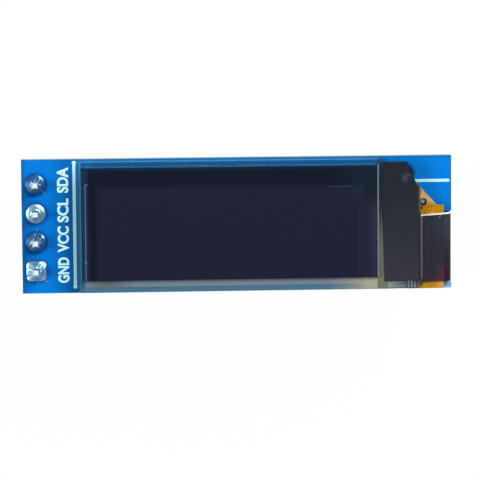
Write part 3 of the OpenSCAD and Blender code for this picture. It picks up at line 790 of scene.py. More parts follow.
@dataclass
class CircuitBoard:
    """The board, its holes, its printed legend and the tracks on its back."""

    plane: BoardPlane
    pins: tuple[str, ...] = ("gnd", "vcc", "scl", "sda")
    ink_height: float = 0.012
    cap_line: float = 3.12
    base_line: float = 4.13
    word_ends: tuple[tuple[float, float], ...] = (
        (0.91, 3.17), (3.61, 5.91), (6.26, 8.37), (8.86, 11.10))
    bold: float = 0.038
    rule_width: float = 0.29
    rule_along: float = 4.63
    rule_ends: tuple[float, float] = (0.56, 11.47)
    short_rule: float = 9.57
    short_rule_ends: tuple[float, float] = (34.4, 37.73)
    jig_well: tuple[float, float] = (35.49, 7.67)
    track_width: float = 0.22
    track_height: float = 0.015
    ring_width: float = 0.6
    rail_start: float = 12.0
    rails: tuple[float, ...] = (-3.9, 0.2, 4.2)
    supply_rail: float = -1.2

    def build(self) -> None:
        """Dresses the board and adds the legend and the tracks."""
        dress("board", SolderMask(
            "blue_solder_mask", paint(2, 118, 208), roughness=0.3, specular=0.18, stray=0.06,
            patch=6.0, grain=0.12, depth=0.0015, plane=self.plane,
            marks=self._lacquer_marks()).build())
        plating = Finish(
            "tinned_copper", paint(120, 168, 206), roughness=0.3, metallic=1.0, stray=0.12,
            patch=0.5, grain=0.12, depth=0.008)
        dress("plated_holes", plating.build())
        ink = Finish(
            "legend_ink", paint(206, 255, 255), roughness=0.5, stray=0.03, patch=0.3,
            grain=0.06, depth=0.004, specular=0.3).build()
        self._words(ink)
        self._rules(Finish(
            "rule_ink", paint(192, 250, 255), roughness=0.5, stray=0.05, patch=0.3, grain=0.06,
            depth=0.004, specular=0.3).build())
        self._back_tracks()

    def _lacquer_marks(self) -> tuple[Mark, ...]:
        """The darker and paler places on the front face, among them painted shade of the panel, of
        the glass and round the joints.
        """
        length, width = self.plane.length, self.plane.width
        end, far = length + 1, width + 1
        well = self.jig_well
        return (
            # the broad darker field round the pins, and a greyer line along the panel's edge where
            # the pale glass edge meets the painted shadow of the panel
            Mark((-1, 2.0), (4.6, 9.0), paint(1, 108, 196), softness=2.5, strength=0.7),
            Mark((4.8, 0.0), (5.2, width), paint(62, 132, 168), softness=0.3, strength=0.9),
            # the board's edges: darker at the header end, lighter at the far corner, a painted shadow
            # of the glass along the far side and darker past it, and darker along the tail end
            Mark((-1, -1), (0.3, far), paint(20, 84, 142), softness=0.3, strength=0.6),
            Mark((35.5, 7.6), (end, far), paint(2, 128, 222), 2.0, 0.6),
            # painted shadow of the glass on the far margin
            Mark((5.0, 11.5), (31.6, far), paint(10, 112, 172), softness=0.15, strength=0.8),
            Mark((31.0, 11.6), (end, far), paint(12, 104, 164), 0.15, 0.6),
            Mark((length - 0.14, 1.6), (end, far), paint(12, 92, 152), 0.12, 0.6),
            # painted shade of the panel over the field beside the legend
            Mark((3.2, -1.0), (5.0, far), paint(8, 88, 156), (1.4, 0.5), 0.6),
            # the pale near corner past the notch
            Mark((36.9, -1), (end, 1.0), paint(150, 166, 220), 0.2, 1.0),
            Mark((37.5, -1), (end, 1.0), paint(130, 186, 236), 0.3, 0.8),
            # darker patches on the board under the ledge, browner under its contacts
            Mark((31.8, -1.0), (33.9, 1.2), paint(74, 68, 66), 0.1, 0.97),
            Mark((33.9, -1.0), (35.2, 1.2), paint(86, 72, 60), 0.1, 0.95),
            # painted shade round each joint
            *(self._joint_shade(pin) for pin in self.pins),
            # what shows through the jig hole in the tail
            Spot.at(well, 0.4, paint(18, 40, 52), 0.08, 0.95),
            Spot.at((well[0] - 0.04, well[1] + 0.02), 0.17, paint(196, 214, 208), 0.1, 0.9),
        )

    def _joint_shade(self, pin: str) -> Spot:
        """The darker ring round a hole: painted shade round its joint."""
        middle = Span.of(f"pin_{pin}").middle
        place = (middle.x - self.plane.corner.x, middle.y - self.plane.corner.y)
        return Spot.at(place, 1.08, paint(2, 66, 146), softness=0.3, strength=0.8)

    def _words(self, ink: bpy.types.Material) -> None:
        """Prints each pin's signal beside it, reading up the board."""
        for pin, (start, end) in zip(self.pins, self.word_ends):
            curve = bpy.data.curves.new(f"{pin}_letters", "FONT")
            curve.body = pin.upper()
            curve.offset = self.bold
            curve.extrude = 0.5
            curve.resolution_u = 6
            word = bpy.data.objects.new(curve.name, curve)
            bpy.context.scene.collection.objects.link(word)
            flat = bpy.data.meshes.new_from_object(
                word.evaluated_get(bpy.context.evaluated_depsgraph_get()))
            bpy.data.objects.remove(word)
            shape = bmesh.new()
            shape.from_mesh(flat)
            bpy.data.meshes.remove(flat)
            bmesh.ops.remove_doubles(shape, verts=shape.verts, dist=1e-5)
            low = Vector([min(v.co[k] for v in shape.verts) for k in range(3)])
            high = Vector([max(v.co[k] for v in shape.verts) for k in range(3)])
            size = high - low
            tall = self.base_line - self.cap_line
            scale = Matrix.Diagonal(
                ((end - start) / size.x, tall / size.y, self.ink_height / size.z, 1.0))
            place = Matrix.Translation(self.plane.spot(self.base_line, start))
            turn = Matrix.Rotation(math.pi / 2, 4, "Z")
            bmesh.ops.transform(
                shape, matrix=place @ turn @ scale @ Matrix.Translation(-low), verts=shape.verts)
            add_piece(f"legend_{pin}", shape, ink)

    def _rules(self, ink: bpy.types.Material) -> None:
        """Prints the line beside the panel, with a blob at each end, and the short far line."""
        shape = bmesh.new()
        low, high = (self.plane.spot(self.rule_along, across) for across in self.rule_ends)
        strip(shape, low, high, self.rule_width, self.ink_height)
        blob, blob_height = self.rule_width + 0.07, self.ink_height * 1.2
        for end in (low, high):
            strip(shape, end, end + Vector((0, TOUCH, 0)), blob, blob_height)
        start, stop = (self.plane.spot(along, self.short_rule) for along in self.short_rule_ends)
        strip(shape, start, stop, 0.27, self.ink_height)
        add_piece("legend_rules", shape, ink)

    def _back_layout(self) -> tuple[list[Route], list[tuple[float, float]]]:
        """Plans the tracks on the back from the places of the parts.

        Returns:
            The tracks, each a list of places, and the places of the through holes.
        """
        lands = Span.of("tail_lands")
        row = Span.of("plated_holes")
        tracks: list[Route] = []
        holes: list[tuple[float, float]] = []
        for index in range(1, 5):
            far = Span.of(f"capacitor_{index}")
            near = Span.of(f"capacitor_{index + 4}")
            inner, outer = sorted((far, near), key=lambda part: part.middle.x)
            drop = inner.middle.y + 1.1
            tracks.append([(lands.low.x, outer.middle.y), (outer.high.x, outer.middle.y)])
            tracks.append([(inner.high.x, inner.middle.y), (outer.low.x, outer.middle.y)])
            tracks.append([
                (inner.middle.x - 0.6, drop), (outer.middle.x + 0.6, drop),
                (outer.middle.x + 1.1, drop - 0.35), (lands.low.x, drop - 0.35)])
            holes.append((inner.middle.x - 0.6, drop))
        for resistor, hole in (("resistor_4", "pin_scl"), ("resistor_5", "pin_sda")):
            pull_up, pin = Span.of(resistor), Span.of(hole)
            tracks.append([
                (row.high.x - 0.3, pin.middle.y), (pull_up.low.x - 0.3, pin.middle.y),
                (pull_up.low.x, pull_up.middle.y)])
        for number, rail in enumerate(self.rails, 1):
            resistor = Span.of(f"resistor_{number}")
            middle = resistor.middle.y
            tracks.append([
                (resistor.low.x, middle), (resistor.low.x - 0.9, middle),
                (resistor.low.x - 1.5, rail), (self.rail_start, rail)])
            tracks.append([(resistor.high.x, middle), (resistor.high.x + 1.1, middle)])
            holes += [(self.rail_start, rail), (resistor.high.x + 1.1, middle)]
        regulator = Span.of("regulator_leads")
        diode = Span.of("diode_leads")
        level = regulator.high.y - 0.2
        tracks.append([
            (regulator.high.x, level), (diode.low.x - 1.2, level), (diode.low.x, diode.middle.y)])
        tracks.append([
            (row.high.x - 0.3, self.supply_rail), (regulator.low.x, self.supply_rail)])
        return tracks, holes

    def _back_tracks(self) -> None:
        """Runs raised copper tracks under the lacquer, from lands to lands on the back."""
        shape = bmesh.new()
        tracks, holes = self._back_layout()
        for index, track in enumerate(tracks):
            points = [Vector((*place, self.plane.back)) for place in track]
            route(shape, points, self.track_width, -self.track_height * (1 + 0.02 * index))
        for place in holes:
            start = Vector((*place, self.plane.back))
            end = start + Vector((TOUCH, 0, 0))
            strip(shape, start, end, self.ring_width, -2 * self.track_height)
        raised = Finish(
            "blue_mask_on_copper", paint(20, 144, 230), roughness=0.28, specular=0.2, patch=3.0,
            stray=0.06)
        add_piece("back_tracks", shape, raised.build())


# --- the header and its solder ---------------------------------------------------------------


@dataclass(frozen=True)
class SolderJoint:
    """How the solder of one pin set.

    Attributes:
        pin: The pin's name.
        foot: Radius at the board.
        height: How far it climbs the pin.
        hollow: 1 for a straight cone, more for a hollow one, less for a full one.
        squareness: 2 for a round foot, more for a square one.
        lean: How far its top leans along and across the board.
        lumps: Height of the lumps in it.
        dents: Directions, in degrees from +X, in which it set lower, each with its half width.
        shaded: Whether it takes the darker copy of the solder, which paints the shade on it.
    """

    pin: str
    foot: float
    height: float
    hollow: float
    squareness: float = 2.0
    lean: tuple[float, float] = (0.0, 0.0)
    lumps: float = 0.02
    dents: tuple[tuple[float, float], ...] = ()
    shaded: bool = False

    def slump(self, angle: float) -> float:
        """How low it set in a direction, 1 for not at all, with the angle in radians."""
        share = 1.0
        for middle, half_width in self.dents:
            off = math.degrees(angle) - middle
            off = abs((off + 180) % 360 - 180) / half_width
            share -= DENT_DEPTH * max(0.0, 1 - off * off)
        return max(share, 1 - DENT_DEPTH)


@dataclass
class PinHeader:
    """The four pins, the plastic that holds them and the solder round them."""

    plane: BoardPlane
    joints: tuple[SolderJoint, ...] = (
        SolderJoint("gnd", 0.9, 0.8, 1.8, squareness=7.0, lumps=0.03,
                    dents=((48, 26), (165, 36), (215, 14))),
        SolderJoint("vcc", 0.9, 0.85, 1.3, lumps=0.03, dents=((42, 24), (95, 18)), shaded=True),
        SolderJoint("scl", 0.89, 0.42, 2.8, lumps=0.0),
        SolderJoint("sda", 0.89, 0.9, 1.2, lumps=0.03, dents=((52, 34),), shaded=True),
    )
    rings: int = 14
    turns: int = 48
    neck_gap: float = 0.05

    def build(self) -> None:
        """Dresses the header and sets each joint."""
        pin_metal = PinWithPaintedTipLight(
            "pin_tin", paint(190, 200, 208), roughness=0.35, metallic=1.0, stray=0.1, patch=0.4,
            grain=0.05, depth=0.004).build()
        for joint in self.joints:
            dress(f"pin_{joint.pin}", pin_metal, bevel=0.03)
        plastic = Finish(
            "black_header_plastic", paint(24, 24, 26), roughness=0.45, stray=0.15, patch=0.8,
            grain=0.06, depth=0.004)
        dress("header_body", plastic.build(), bevel=0.06)
        # the solder's blue tint paints the blue board's reflection in it
        solder = Finish(
            "lit_solder", paint(160, 206, 226), roughness=0.38, metallic=0.85, stray=0.1,
            patch=0.3, grain=0.2, depth=0.006, haze=0.05).build()
        # a darker copy of the solder: painted shade for the joints that show darker
        shaded = Finish(
            "shaded_solder", paint(84, 130, 166), roughness=0.3, metallic=0.8, stray=0.2,
            patch=0.3, grain=0.2, depth=0.01, haze=0.06).build()
        for joint in self.joints:
            self._joint(joint, shaded if joint.shaded else solder)
        self._flecks(solder)

    def _joint(self, joint: SolderJoint, solder: bpy.types.Material) -> None:
        """Spins one joint's profile round its pin and lets it set unevenly."""
        pin = Span.of(f"pin_{joint.pin}")
        land = Span.of("plated_holes").high.z
        neck = pin.size.x / math.sqrt(2) + self.neck_gap
        shape = bmesh.new()
        profile = [shape.verts.new((0.0, 0.0, 0.0))]
        for ring in range(self.rings + 1):
            share = ring / self.rings
            radius = neck + (joint.foot - neck) * (1 - share) ** joint.hollow
            profile.append(shape.verts.new((radius, 0.0, joint.height * share)))
        profile.append(shape.verts.new((pin.size.x * 0.45, 0.0, joint.height * 1.02)))
        profile.append(shape.verts.new((0.0, 0.0, joint.height)))
        edges = [shape.edges.new(pair) for pair in zip(profile, profile[1:])]
        bmesh.ops.spin(
            shape, geom=profile + edges, cent=(0, 0, 0), axis=(0, 0, 1),
            angle=2 * math.pi, steps=self.turns, use_merge=True)
        bmesh.ops.remove_doubles(shape, verts=shape.verts, dist=1e-4)
        for corner in shape.verts:
            self._settle(corner, joint)
        bmesh.ops.recalc_face_normals(shape, faces=shape.faces)
        place = Vector((pin.middle.x, pin.middle.y, land - 0.01))
        bmesh.ops.translate(shape, vec=place, verts=shape.verts)
        add_piece(
            f"joint_{joint.pin}", shape, solder,
            replaced=[f"solder_{joint.pin}"], shade=Shade.ROUND)

    def _settle(self, corner: bmesh.types.BMVert, joint: SolderJoint) -> None:
        """Moves one corner of a joint to where the solder set.

        Args:
            corner: The corner, still in the joint's own frame.
            joint: How the joint set.
        """
        reach = Vector((corner.co.x, corner.co.y)).length
        if reach < 1e-4:
            return
        share = corner.co.z / joint.height
        angle = math.atan2(corner.co.y, corner.co.x)
        power = joint.squareness
        square = (abs(math.cos(angle)) ** power + abs(math.sin(angle)) ** power) ** (-1 / power)
        spread = 1 + (square - 1) * max(0.0, 1 - share) ** 0.7
        wobble = noise.noise(corner.co * 2.6 + Vector((joint.height, joint.foot, power)) * 7)
        if 0.0 < share < 1.0:
            spread += joint.lumps / reach * wobble * 2
            corner.co.z += joint.lumps * wobble
        corner.co.z *= joint.slump(angle)
        corner.co.x = corner.co.x * spread + joint.lean[0] * share
        corner.co.y = corner.co.y * spread + joint.lean[1] * share

    def _flecks(self, solder: bpy.types.Material) -> None:
        """Scatters the few small beads of solder that lie round the joints."""
        shape = bmesh.new()
        beads = (("sda", 0.72, -0.66, 0.055), ("vcc", 0.1, 1.12, 0.06), ("vcc", 1.08, 0.02, 0.045),
                 ("gnd", 0.88, -0.9, 0.06), ("gnd", 0.08, -1.02, 0.05))
        for pin, along, across, radius in beads:
            middle = Span.of(f"pin_{pin}").middle
            place = Vector((middle.x + along, middle.y + across, self.plane.front + radius * 0.7))
            bmesh.ops.create_icosphere(
                shape, subdivisions=2, radius=radius, matrix=Matrix.Translation(place))
        add_piece("solder_beads", shape, solder, shade=Shade.ROUND)


# --- the display panel -----------------------------------------------------------------------


@dataclass
class DisplayPanel:
    """The two glasses, what is between them, the film in front and the ledge behind."""

    plane: BoardPlane
    track_height: float = 0.004
    line_width: float = 0.08
    contacts: tuple[tuple[float, float], ...] = ((34.12, 0.1), (34.39, 0.12), (34.65, 0.1))
    comb_teeth: int = 18
    comb_start: float = 5.9
    comb_pitch: float = 0.19

    def build(self) -> None:
        """Dresses the panel and adds the metal tracks on its ledge."""
        front = Span.of("front_glass")
        rear = Span.of("rear_glass")
        clear = paint(24, 112, 156)
        dress("front_glass", PanelGlass(
            "front_panel_glass", clear, roughness=0.06, specular=0.2, alpha=0.05, stray=0.04,
            patch=5.0, depth=0.0, haze=0.01, plane=self.plane, span=front,
            clear_from=(31.4, 0.0), marks=self._glass_marks(front)).build())
        dress("rear_glass", PanelGlass(
            "rear_panel_glass", clear, roughness=0.08, specular=0.12, alpha=0.06, stray=0.04,
            patch=5.0, depth=0.0, haze=0.01, plane=self.plane, span=rear, edge_alpha=0.25,
            clear_from=(31.4, 6.0)).build())
        ledge = rear.high.x - self.plane.corner.x
        dress("edge_seal", PanelGlue(
            "panel_glue", paint(30, 104, 138), roughness=0.3, specular=0.3, alpha=0.12,
            plane=self.plane, marks=(
                Mark((ledge - 0.9, -1), (ledge + 1, 9.0), paint(110, 112, 92), (0.2, 8.0), 0.9),
            )).build())
        dress("panel_bed_tape", Finish(
            "tape_edge", paint(196, 200, 190), roughness=0.7, patch=0.8, depth=0.01).build())
        dress("drying_sheet", Finish("drying_paper", paint(190, 184, 166), roughness=0.9).build())
        dress("emitting_film", Finish("emitting_layers", paint(40, 38, 66), roughness=0.3).build())
        dress("driver_chip", Finish("bare_silicon", paint(92, 92, 100), roughness=0.25).build())
        dress("chip_resin", Finish(
            "black_chip_resin", paint(62, 60, 58), roughness=0.35, patch=0.6, grain=0.2,
            depth=0.01).build(), bevel=0.02)
        dress("polarizer", self._screen().build(), bevel=0.02)
        self._ledge_tracks(front)

    def _glass_marks(self, glass: Span) -> tuple[Mark, ...]:
        """What shows in the bare margins of the front glass: glue, cut edges, ledge and a painted
        shadow past the tape.
        """
        corner = self.plane.corner
        film = Span.of("polarizer")
        end = glass.high.x - corner.x
        near = glass.low.y - corner.y
        film_near = film.low.y - corner.y
        film_end = film.high.x - corner.x
        tape = Span.of("ledge_tape").low.x - corner.x
        # the colour of the painted shadow past the tape
        shade = paint(10, 32, 60)
        return (
            # the pale glue and cut edges along the near margin
            Mark((5.4, near + 0.44), (film_end + 0.4, film_near + 0.1), paint(134, 142, 150),
                 (0.6, 0.12), 0.8),
            Mark((5.2, near), (film_end + 0.4, near + 0.5), paint(92, 130, 150), (0.6, 0.2), 0.7),
            Mark((5.2, near - 0.2), (33.0, near + 0.08), paint(74, 110, 134), (0.4, 0.06), 0.7),
            Mark((6.0, near + 0.5), (9.0, film_near + 0.1), paint(90, 98, 90), (1.8, 0.2), 0.6),
            Mark((28.6, near), (film_end + 2.0, film_near + 0.1), paint(168, 166, 142),
                 (3.4, 0.2), 0.9),
            # the gap between the film and the tape, olive and then dark
            Mark((film_end - 0.1, near - 4), (tape + 0.6, 8.2), paint(108, 108, 92),
                 (0.08, 4.6), 0.95),
            Mark((film_end - 0.1, 6.0), (tape + 0.6, 12.0), paint(30, 38, 50), (0.08, 4.0), 0.85),
            # painted shadow of the tape and the ledge on the board, seen past the tape's cut corner
            Mark((film_end + 0.3, 10.9), (34.0, 11.36), shade, (0.3, 0.2), 0.9),
            Spot.at((33.72, 10.3), 0.9, shade, 0.4, 0.95),
            # the end of the ledge past the tape
            Mark((end - 0.6, near + 0.6), (end + 0.1, 6.9), paint(44, 47, 49), (0.06, 0.2), 1.0),
            Mark((end - 0.6, 6.9), (end - 0.04, 9.3), paint(106, 84, 46), (0.06, 0.3), 0.9),
            Mark((end - 0.6, 6.9), (end - 0.13, 9.3), paint(50, 46, 44), (0.06, 0.3), 0.9),
        )

    def _screen(self) -> ScreenFilm:
        """The dark film, with the emitting layers, the supply line and painted highlights on its own
        edges.
        """
        film = Span.of("polarizer")
        corner = self.plane.corner
        left, right = film.low.x - corner.x, film.high.x - corner.x
        near, far = film.low.y - corner.y, film.high.y - corner.y
        layers = Span.of("emitting_film")
        lit_low = (layers.low.x - corner.x, layers.low.y - corner.y)
        lit_high = (layers.high.x - corner.x, layers.high.y - corner.y)
        line = 5.55
        line_end = line + self.line_width
        metal = paint(84, 106, 134)
        return ScreenFilm(
            "dark_polarizing_film", paint(19, 24, 39), roughness=0.14, specular=0.3, stray=0.05,
            patch=4.0, grain=0.5, depth=0.0002, haze=0.02, plane=self.plane,
            marks=(
                # the light-emitting field and what shows along the film's sides
                Mark(lit_low, lit_high, paint(30, 31, 50), 0.5),
                Mark((left, near), (line - 0.05, far), paint(8, 50, 82), 0.2, 1.0),
                Mark((line - 0.1, near), (line + 0.3, far), paint(40, 52, 76), 0.2, 0.5),
                Mark((left, far - 0.25), (right, far + 1), paint(6, 42, 76), 0.35, 0.9),
                Mark((28.6, 8.2), (right + 1, far), paint(26, 46, 58), 1.8, 0.35),
                Mark((30.2, 0.4), (right + 1, 8.0), paint(52, 52, 70), 1.6, 0.6),
                # the supply line inside the glass, and a short line at the far end
                Mark((line, 0.9), (line_end, 9.66), metal, 0.04),
                Mark((line, 9.56), (line + 0.3, 9.66), metal, 0.05, 0.7),
                Mark((line - 0.06, 2.74), (line_end + 0.06, 2.9), metal, 0.06),
                Mark((26.9, 9.2), (29.0, 9.28), paint(66, 68, 88), 0.08, 0.5),
                # painted highlights along the film's cut edges
                Mark((left - 1, far - 0.05), (right, far + 1), paint(60, 100, 118), 0.05, 0.5),
                Mark((right - 0.1, near), (right + 1, far), paint(130, 132, 138), 0.06, 0.9),
                Mark((left - 1, near), (left + 0.07, far), paint(58, 108, 132), 0.05, 0.6),
            ),
        )

    def _ledge_tracks(self, glass: Span) -> None:
        """Lays the metal tracks that run on the ledge, on the glass's inner face."""
        shape = bmesh.new()
        above = glass.low.z - self.plane.front
        spot = self.plane.spot
        strip(shape, spot(32.1, 0.3, above), spot(33.75, 0.3, above), 0.12, self.track_height)
        for along, width in self.contacts:
            low, high = spot(along, 0.2, above), spot(along, 0.78, above)
            strip(shape, low, high, width, self.track_height)
        for tooth in range(self.comb_teeth):
            across = self.comb_start + tooth * self.comb_pitch
            low, high = spot(31.42, across, above), spot(31.56, across, above)
            strip(shape, low, high, 0.07, self.track_height)
        film = MarkedFinish(
            "thin_metal_film", paint(232, 224, 200), roughness=0.4, metallic=0.0, patch=0.5,
            stray=0.1, plane=self.plane,
            marks=(Mark((31.0, 5.0), (31.8, 11.0), paint(14, 18, 26)),))
        add_piece("ledge_tracks", shape, film.build(), shade=Shade.FLAT)


# --- the tail and its tapes ------------------------------------------------------------------


@dataclass
class FlexibleTail:
    """The amber tail, its soldered end and the two black tapes."""

    plane: BoardPlane
    jig_hole: tuple[float, float] = (35.4, 7.72)
    neck_turn: float = math.radians(4.2)

    def build(self) -> None:
        """Dresses the tail, its solder and its tapes."""
        dress("flexible_tail", AmberFilm(
            "amber_tail_film", paint(176, 126, 2), roughness=0.4, stray=0.18, patch=0.5,
            grain=0.3, depth=0.004, specular=0.15, plane=self.plane,
            marks=self._amber_marks()).build())
        dress("tail_leads", Finish(
            "lead_tin", paint(200, 204, 208), roughness=0.28, metallic=1.0).build())
        dress("tail_lands", Finish(
            "gold_flash", paint(212, 172, 84), roughness=0.25, metallic=1.0).build())
        dress("tail_solder", Finish(
            "lead_solder", paint(196, 200, 206), roughness=0.2, metallic=1.0, patch=0.4, grain=0.2,
            depth=0.01).build(), bevel=0.03)
        dress("ledge_tape", BlackTape(
            "ledge_black_tape", paint(39, 41, 51), roughness=0.6, specular=0.2, stray=0.08,
            patch=1.2, grain=0.1, depth=0.003, plane=self.plane,
            marks=self._ledge_tape_marks()).build(), bevel=0.015)
        neck = Span.of("neck_tape")
        tail = Span.of("flexible_tail")
        pivot = (tail.high.x, neck.middle.y, 0.0)
        dress("neck_tape", BlackTape(
            "neck_black_tape", paint(39, 40, 50), roughness=0.7, specular=0.12, stray=0.08,
            patch=0.9, grain=0.1, depth=0.003, plane=self.plane, pivot=pivot,
            turn=self.neck_turn, half_width=3.0, edge_width=0.03,
            marks=self._neck_tape_marks()).build(), shade=Shade.ROUND)

    def _amber_marks(self) -> tuple[Mark, ...]:
        """The pale shoulder, the jig hole, and darker, browner and paler patches on the amber film.
        """
        return (
            # the pale shoulder, and a darker patch at the end of the ledge
            Mark((33.0, 7.65), (38.0, 12.0), paint(208, 172, 122), (0.1, 0.5), 0.85),
            Mark((33.9, -1.0), (35.14, 0.75), paint(92, 80, 66), 0.06, 0.9),
            # the rings round the jig hole and round the small pit beside it
            Spot.at(self.jig_hole, 0.35, paint(26, 38, 40), 0.05, 0.9),
            Spot.at((self.jig_hole[0] - 0.18, self.jig_hole[1] - 0.52), 0.14,
                    paint(62, 42, 50), 0.08),
            # the near edge: olive, then paler, with a brown spot
            Mark((35.1, -1.0), (36.2, 0.7), paint(150, 136, 30), 0.8, 0.45),
            Mark((36.7, -1.0), (37.6, 0.7), paint(214, 170, 100), 0.6, 0.5),
            Spot.at((35.22, 0.42), 0.15, paint(70, 52, 20), 0.15, 0.9),
            # darker, browner and paler patches beside the ledge tape and along the neck tape
            Mark((33.5, 7.9), (35.25, 9.4), paint(128, 88, 38), (0.2, 0.4), 0.75),
            Mark((33.5, 6.4), (35.2, 7.1), paint(52, 40, 34), (0.14, 0.2), 0.8),
            Spot.at((35.35, 8.3), 0.24, paint(222, 170, 128), 0.3, 0.8),
            Mark((35.2, 0.55), (37.4, 1.2), paint(96, 62, 26), 0.12, 0.6),
        )

    @staticmethod
    def _ledge_tape_marks() -> tuple[Mark, ...]:
        """The tape's painted shade over its far end, painted highlights and shade on its creases, a
        dark spot and its browner near end.
        """
        return (
            # painted shade over the far end of the tape
            Mark((31.0, 6.0), (36.0, 14.0), paint(19, 27, 37), (0.1, 6.0), 0.9),
            # painted highlights where a crease catches the light
            Mark((33.5, 9.6), (33.9, 10.2), paint(66, 68, 78), (0.3, 0.4), 0.7),
            Mark((33.9, 10.1), (34.3, 10.26), paint(74, 76, 84), (0.25, 0.16), 0.6, turn=-40),
            # painted shade along two creases
            Mark((31.9, 6.2), (33.4, 6.34), paint(28, 32, 42), (0.5, 0.2), 0.6, turn=40),
            Mark((33.4, 5.0), (34.6, 5.14), paint(28, 32, 42), (0.5, 0.2), 0.5, turn=35),
            Mark((34.1, 9.55), (34.7, 10.0), paint(16, 22, 36), 0.3, 0.8),
            Mark((31.0, -1.0), (36.0, 2.4), paint(50, 46, 58), (0.1, 2.0), 0.6),
        )

    @staticmethod
    def _neck_tape_marks() -> tuple[Mark, ...]:
        """A painted bluer sheen, a painted highlight along a crease, a scratch, the wine-red corner
        and the pale front end.
        """
        return (
            # painted sheen
            Mark((36.2, 4.6), (37.8, 6.9), paint(40, 47, 62), 0.8, 0.8),
            # painted highlight along a crease
            Mark((35.5, 1.0), (35.86, 6.7), paint(52, 52, 62), 0.25, 0.7),
            Mark((36.7, 6.48), (37.2, 6.53), paint(150, 160, 172), 0.06, 0.7, turn=60),
            Mark((36.9, -1.0), (38.5, 1.9), paint(84, 38, 60), 0.9, 0.7),
            Mark((35.3, -1.0), (37.2, 0.85), paint(86, 40, 50), 0.4, 0.7),
            Mark((35.1, 0.9), (35.34, 7.2), paint(104, 104, 114), (0.12, 0.4), 0.95),
        )


# --- the small parts on the back -------------------------------------------------------------


@dataclass
class BackParts:
    """The chip parts, the regulator, the diode and their solder."""

    capacitors: int = 8
    resistors: int = 5
    cap_length: float = 0.3

    def build(self) -> None:
        """Dresses every small part."""
        for index in range(1, self.capacitors + 1):
            self._chip(f"capacitor_{index}", paint(164, 128, 92), 0.4)
        for index in range(1, self.resistors + 1):
            self._chip(f"resistor_{index}", paint(34, 34, 38), 0.3)
        moulding = Finish(
            "black_moulding", paint(30, 30, 32), roughness=0.6, stray=0.12, patch=0.6, grain=0.05,
            depth=0.004).build()
        tin = Finish(
            "bent_lead_tin", paint(204, 206, 210), roughness=0.28, metallic=1.0, patch=0.4).build()
        for part in ("regulator", "diode"):
            dress(f"{part}_body", moulding, bevel=0.04)
            dress(f"{part}_leads", tin, bevel=0.015)
        dress("part_lands", Finish(
            "land_tin", paint(198, 202, 208), roughness=0.24, metallic=1.0).build())
        dress("part_solder", Finish(
            "part_solder_metal", paint(196, 200, 206), roughness=0.18, metallic=1.0, patch=0.3,
            grain=0.15, depth=0.01).build(), bevel=0.02)

    def _chip(self, node: str, body: Rgb, roughness: float) -> None:
        """Dresses one chip part."""
        span = Span.of(node)
        dress(node, ChipPart(
            f"{node}_ceramic", body, roughness=roughness, patch=0.4, grain=0.05, depth=0.003,
            middle=span.middle.x, body_half=span.size.x / 2 - self.cap_length).build(), bevel=0.03)


# --- studio and camera -----------------------------------------------------------------------


@dataclass(frozen=True)
class SoftBox:
    """A soft lamp.

    Attributes:
        name: Its name.
        turn: Its direction seen from above, in degrees from +X.
        climb: Its height above the floor plane, in degrees.
        power: Its power in watts.
        size: Its side in metres.
        distance: Its distance in metres.
    """

    name: str
    turn: float
    climb: float
    power: float
    size: float = 0.22
    distance: float = 0.34

    def place(self, target: Vector) -> None:
        """Puts the lamp up, facing a target in metres."""
        turn, climb = math.radians(self.turn), math.radians(self.climb)
        away = Vector((
            math.cos(climb) * math.cos(turn), math.cos(climb) * math.sin(turn), math.sin(climb)))
        light = bpy.data.lights.new(self.name, "AREA")
        light.energy = self.power
        light.size = self.size
        lamp = bpy.data.objects.new(self.name, light)
        lamp.location = target + away * self.distance
        lamp.rotation_euler = away.to_track_quat("Z", "Y").to_euler()
        bpy.context.scene.collection.objects.link(lamp)


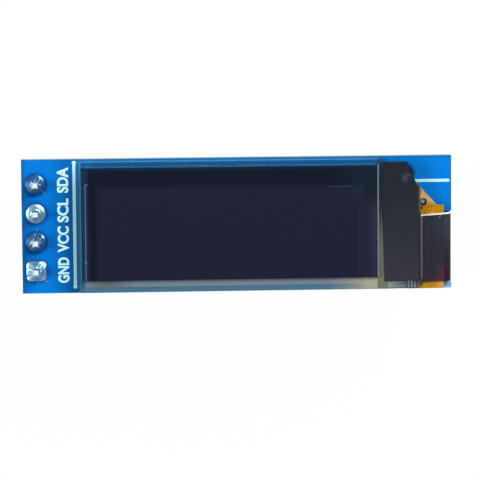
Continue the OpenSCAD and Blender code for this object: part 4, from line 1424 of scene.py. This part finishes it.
@dataclass
class Studio:
    """White floor, soft lamps, a pale room and the camera above the display."""

    plane: BoardPlane
    lamps: tuple[SoftBox, ...] = (
        SoftBox("key_lamp", 52, 38, 1.35, size=0.2),
        SoftBox("side_lamp", 178, 36, 0.7, size=0.16),
    )
    floor_size: float = 1.6
    floor_white: float = 0.97
    floor_grey: float = 0.86
    floor_gap: float = 0.0001
    ceiling: float = 0.06
    walls: float = 0.6
    aim: tuple[float, float] = (19.2, 4.49)
    distance: float = 215.0
    tilt_along: float = math.radians(3.4)
    tilt_across: float = math.radians(5.0)
    roll: float = -0.0082
    focal_share: float = 5.066

    def build(self) -> None:
        """Sets up the floor, the lamps, the room and the camera."""
        target = self.plane.spot(self.plane.length / 2, self.plane.width / 2) * MM
        for lamp in self.lamps:
            lamp.place(target)
        self._floor()
        self._room()
        self._camera()
        bpy.context.scene.view_settings.view_transform = "Standard"

    def _white_to_lens(self, graph: Graph, share: float) -> Socket:
        """How much a surface shows as plain white to the camera, to gloss and through glass."""
        path = graph.node("ShaderNodeLightPath")
        seen = graph.math("MAXIMUM", path.outputs["Is Camera Ray"], path.outputs["Is Glossy Ray"])
        seen = graph.math("MAXIMUM", seen, path.outputs["Is Transmission Ray"])
        return graph.math("MULTIPLY", seen, share)

    def _floor(self) -> None:
        """Lays the white floor just under the pin ends."""
        material = bpy.data.materials.new("white_floor")
        material.use_nodes = True
        graph = Graph(material.node_tree)
        surface = material.node_tree.nodes["Principled BSDF"]
        surface.inputs["Base Color"].default_value = (*(self.floor_grey,) * 3, 1.0)
        surface.inputs["Roughness"].default_value = 0.9
        glow = graph.node("ShaderNodeEmission")
        mixed = graph.node("ShaderNodeMixShader")
        graph.feed(mixed.inputs[0], self._white_to_lens(graph, self.floor_white))
        graph.feed(mixed.inputs[1], surface.outputs[0])
        graph.feed(mixed.inputs[2], glow.outputs[0])
        graph.feed(material.node_tree.nodes["Material Output"].inputs["Surface"], mixed.outputs[0])
        shape = bmesh.new()
        bmesh.ops.create_grid(shape, x_segments=1, y_segments=1, size=self.floor_size / 2)
        bmesh.ops.translate(shape, vec=(0, 0, CAD_BOX[0][2] - self.floor_gap), verts=shape.verts)
        mesh = bpy.data.meshes.new("floor")
        shape.to_mesh(mesh)
        shape.free()
        mesh.materials.append(material)
        floor = bpy.data.objects.new("floor", mesh)
        bpy.context.scene.collection.objects.link(floor)

    def _room(self) -> None:
        """Pale walls and a dim ceiling, and plain white where the camera looks past the object."""
        world = bpy.data.worlds.new("studio_room")
        world.use_nodes = True
        bpy.context.scene.world = world
        graph = Graph(world.node_tree)
        background = world.node_tree.nodes["Background"]
        up = graph.parts(graph.node("ShaderNodeTexCoord").outputs["Generated"])["Z"]
        height = graph.math("DIVIDE", graph.math("SUBTRACT", up, 0.2), 0.5, clamp=True)
        wall, ceiling = (self.walls,) * 3, (self.ceiling,) * 3
        room = graph.blend(height, wall, ceiling)
        path = graph.node("ShaderNodeLightPath")
        seen = graph.math(
            "MAXIMUM", path.outputs["Is Camera Ray"], path.outputs["Is Transmission Ray"])
        graph.feed(background.inputs["Color"], graph.blend(seen, room, (1.0, 1.0, 1.0)))
        background.inputs["Strength"].default_value = 1.0

    def _camera(self) -> None:
        """Hangs the camera over the display, tipped a little toward the header and the far edge."""
        away = Vector((-math.sin(self.tilt_along), math.sin(self.tilt_across), 0.0))
        away.z = math.sqrt(1 - away.length_squared)
        target = self.plane.spot(*self.aim)
        right = (-away).cross(Vector((0, 1, 0))).normalized()
        up = right.cross(-away)
        cosine, sine = math.cos(self.roll), math.sin(self.roll)
        x_axis = right * cosine + up * sine
        y_axis = up * cosine - right * sine
        lens = bpy.data.cameras.new("camera")
        lens.sensor_width = 36.0
        lens.lens = lens.sensor_width * self.focal_share
        lens.clip_start = 0.01
        camera = bpy.data.objects.new("camera", lens)
        turn = Matrix((x_axis, y_axis, away)).transposed().to_4x4()
        camera.matrix_world = Matrix.Translation((target + away * self.distance) * MM) @ turn
        bpy.context.scene.collection.objects.link(camera)
        bpy.context.scene.camera = camera


def main() -> None:
    """Builds the studio and every sub-assembly, and logs each one as it is finished."""
    logging.basicConfig(level=logging.INFO, format="%(name)s: %(message)s")
    plane = BoardPlane.of_model()
    for assembly in (Studio(plane), CircuitBoard(plane), PinHeader(plane), DisplayPanel(plane),
                     FlexibleTail(plane), BackParts()):
        assembly.build()
        LOG.info("finished the %s", type(assembly).__name__)


if __name__ == "__main__":
    main()
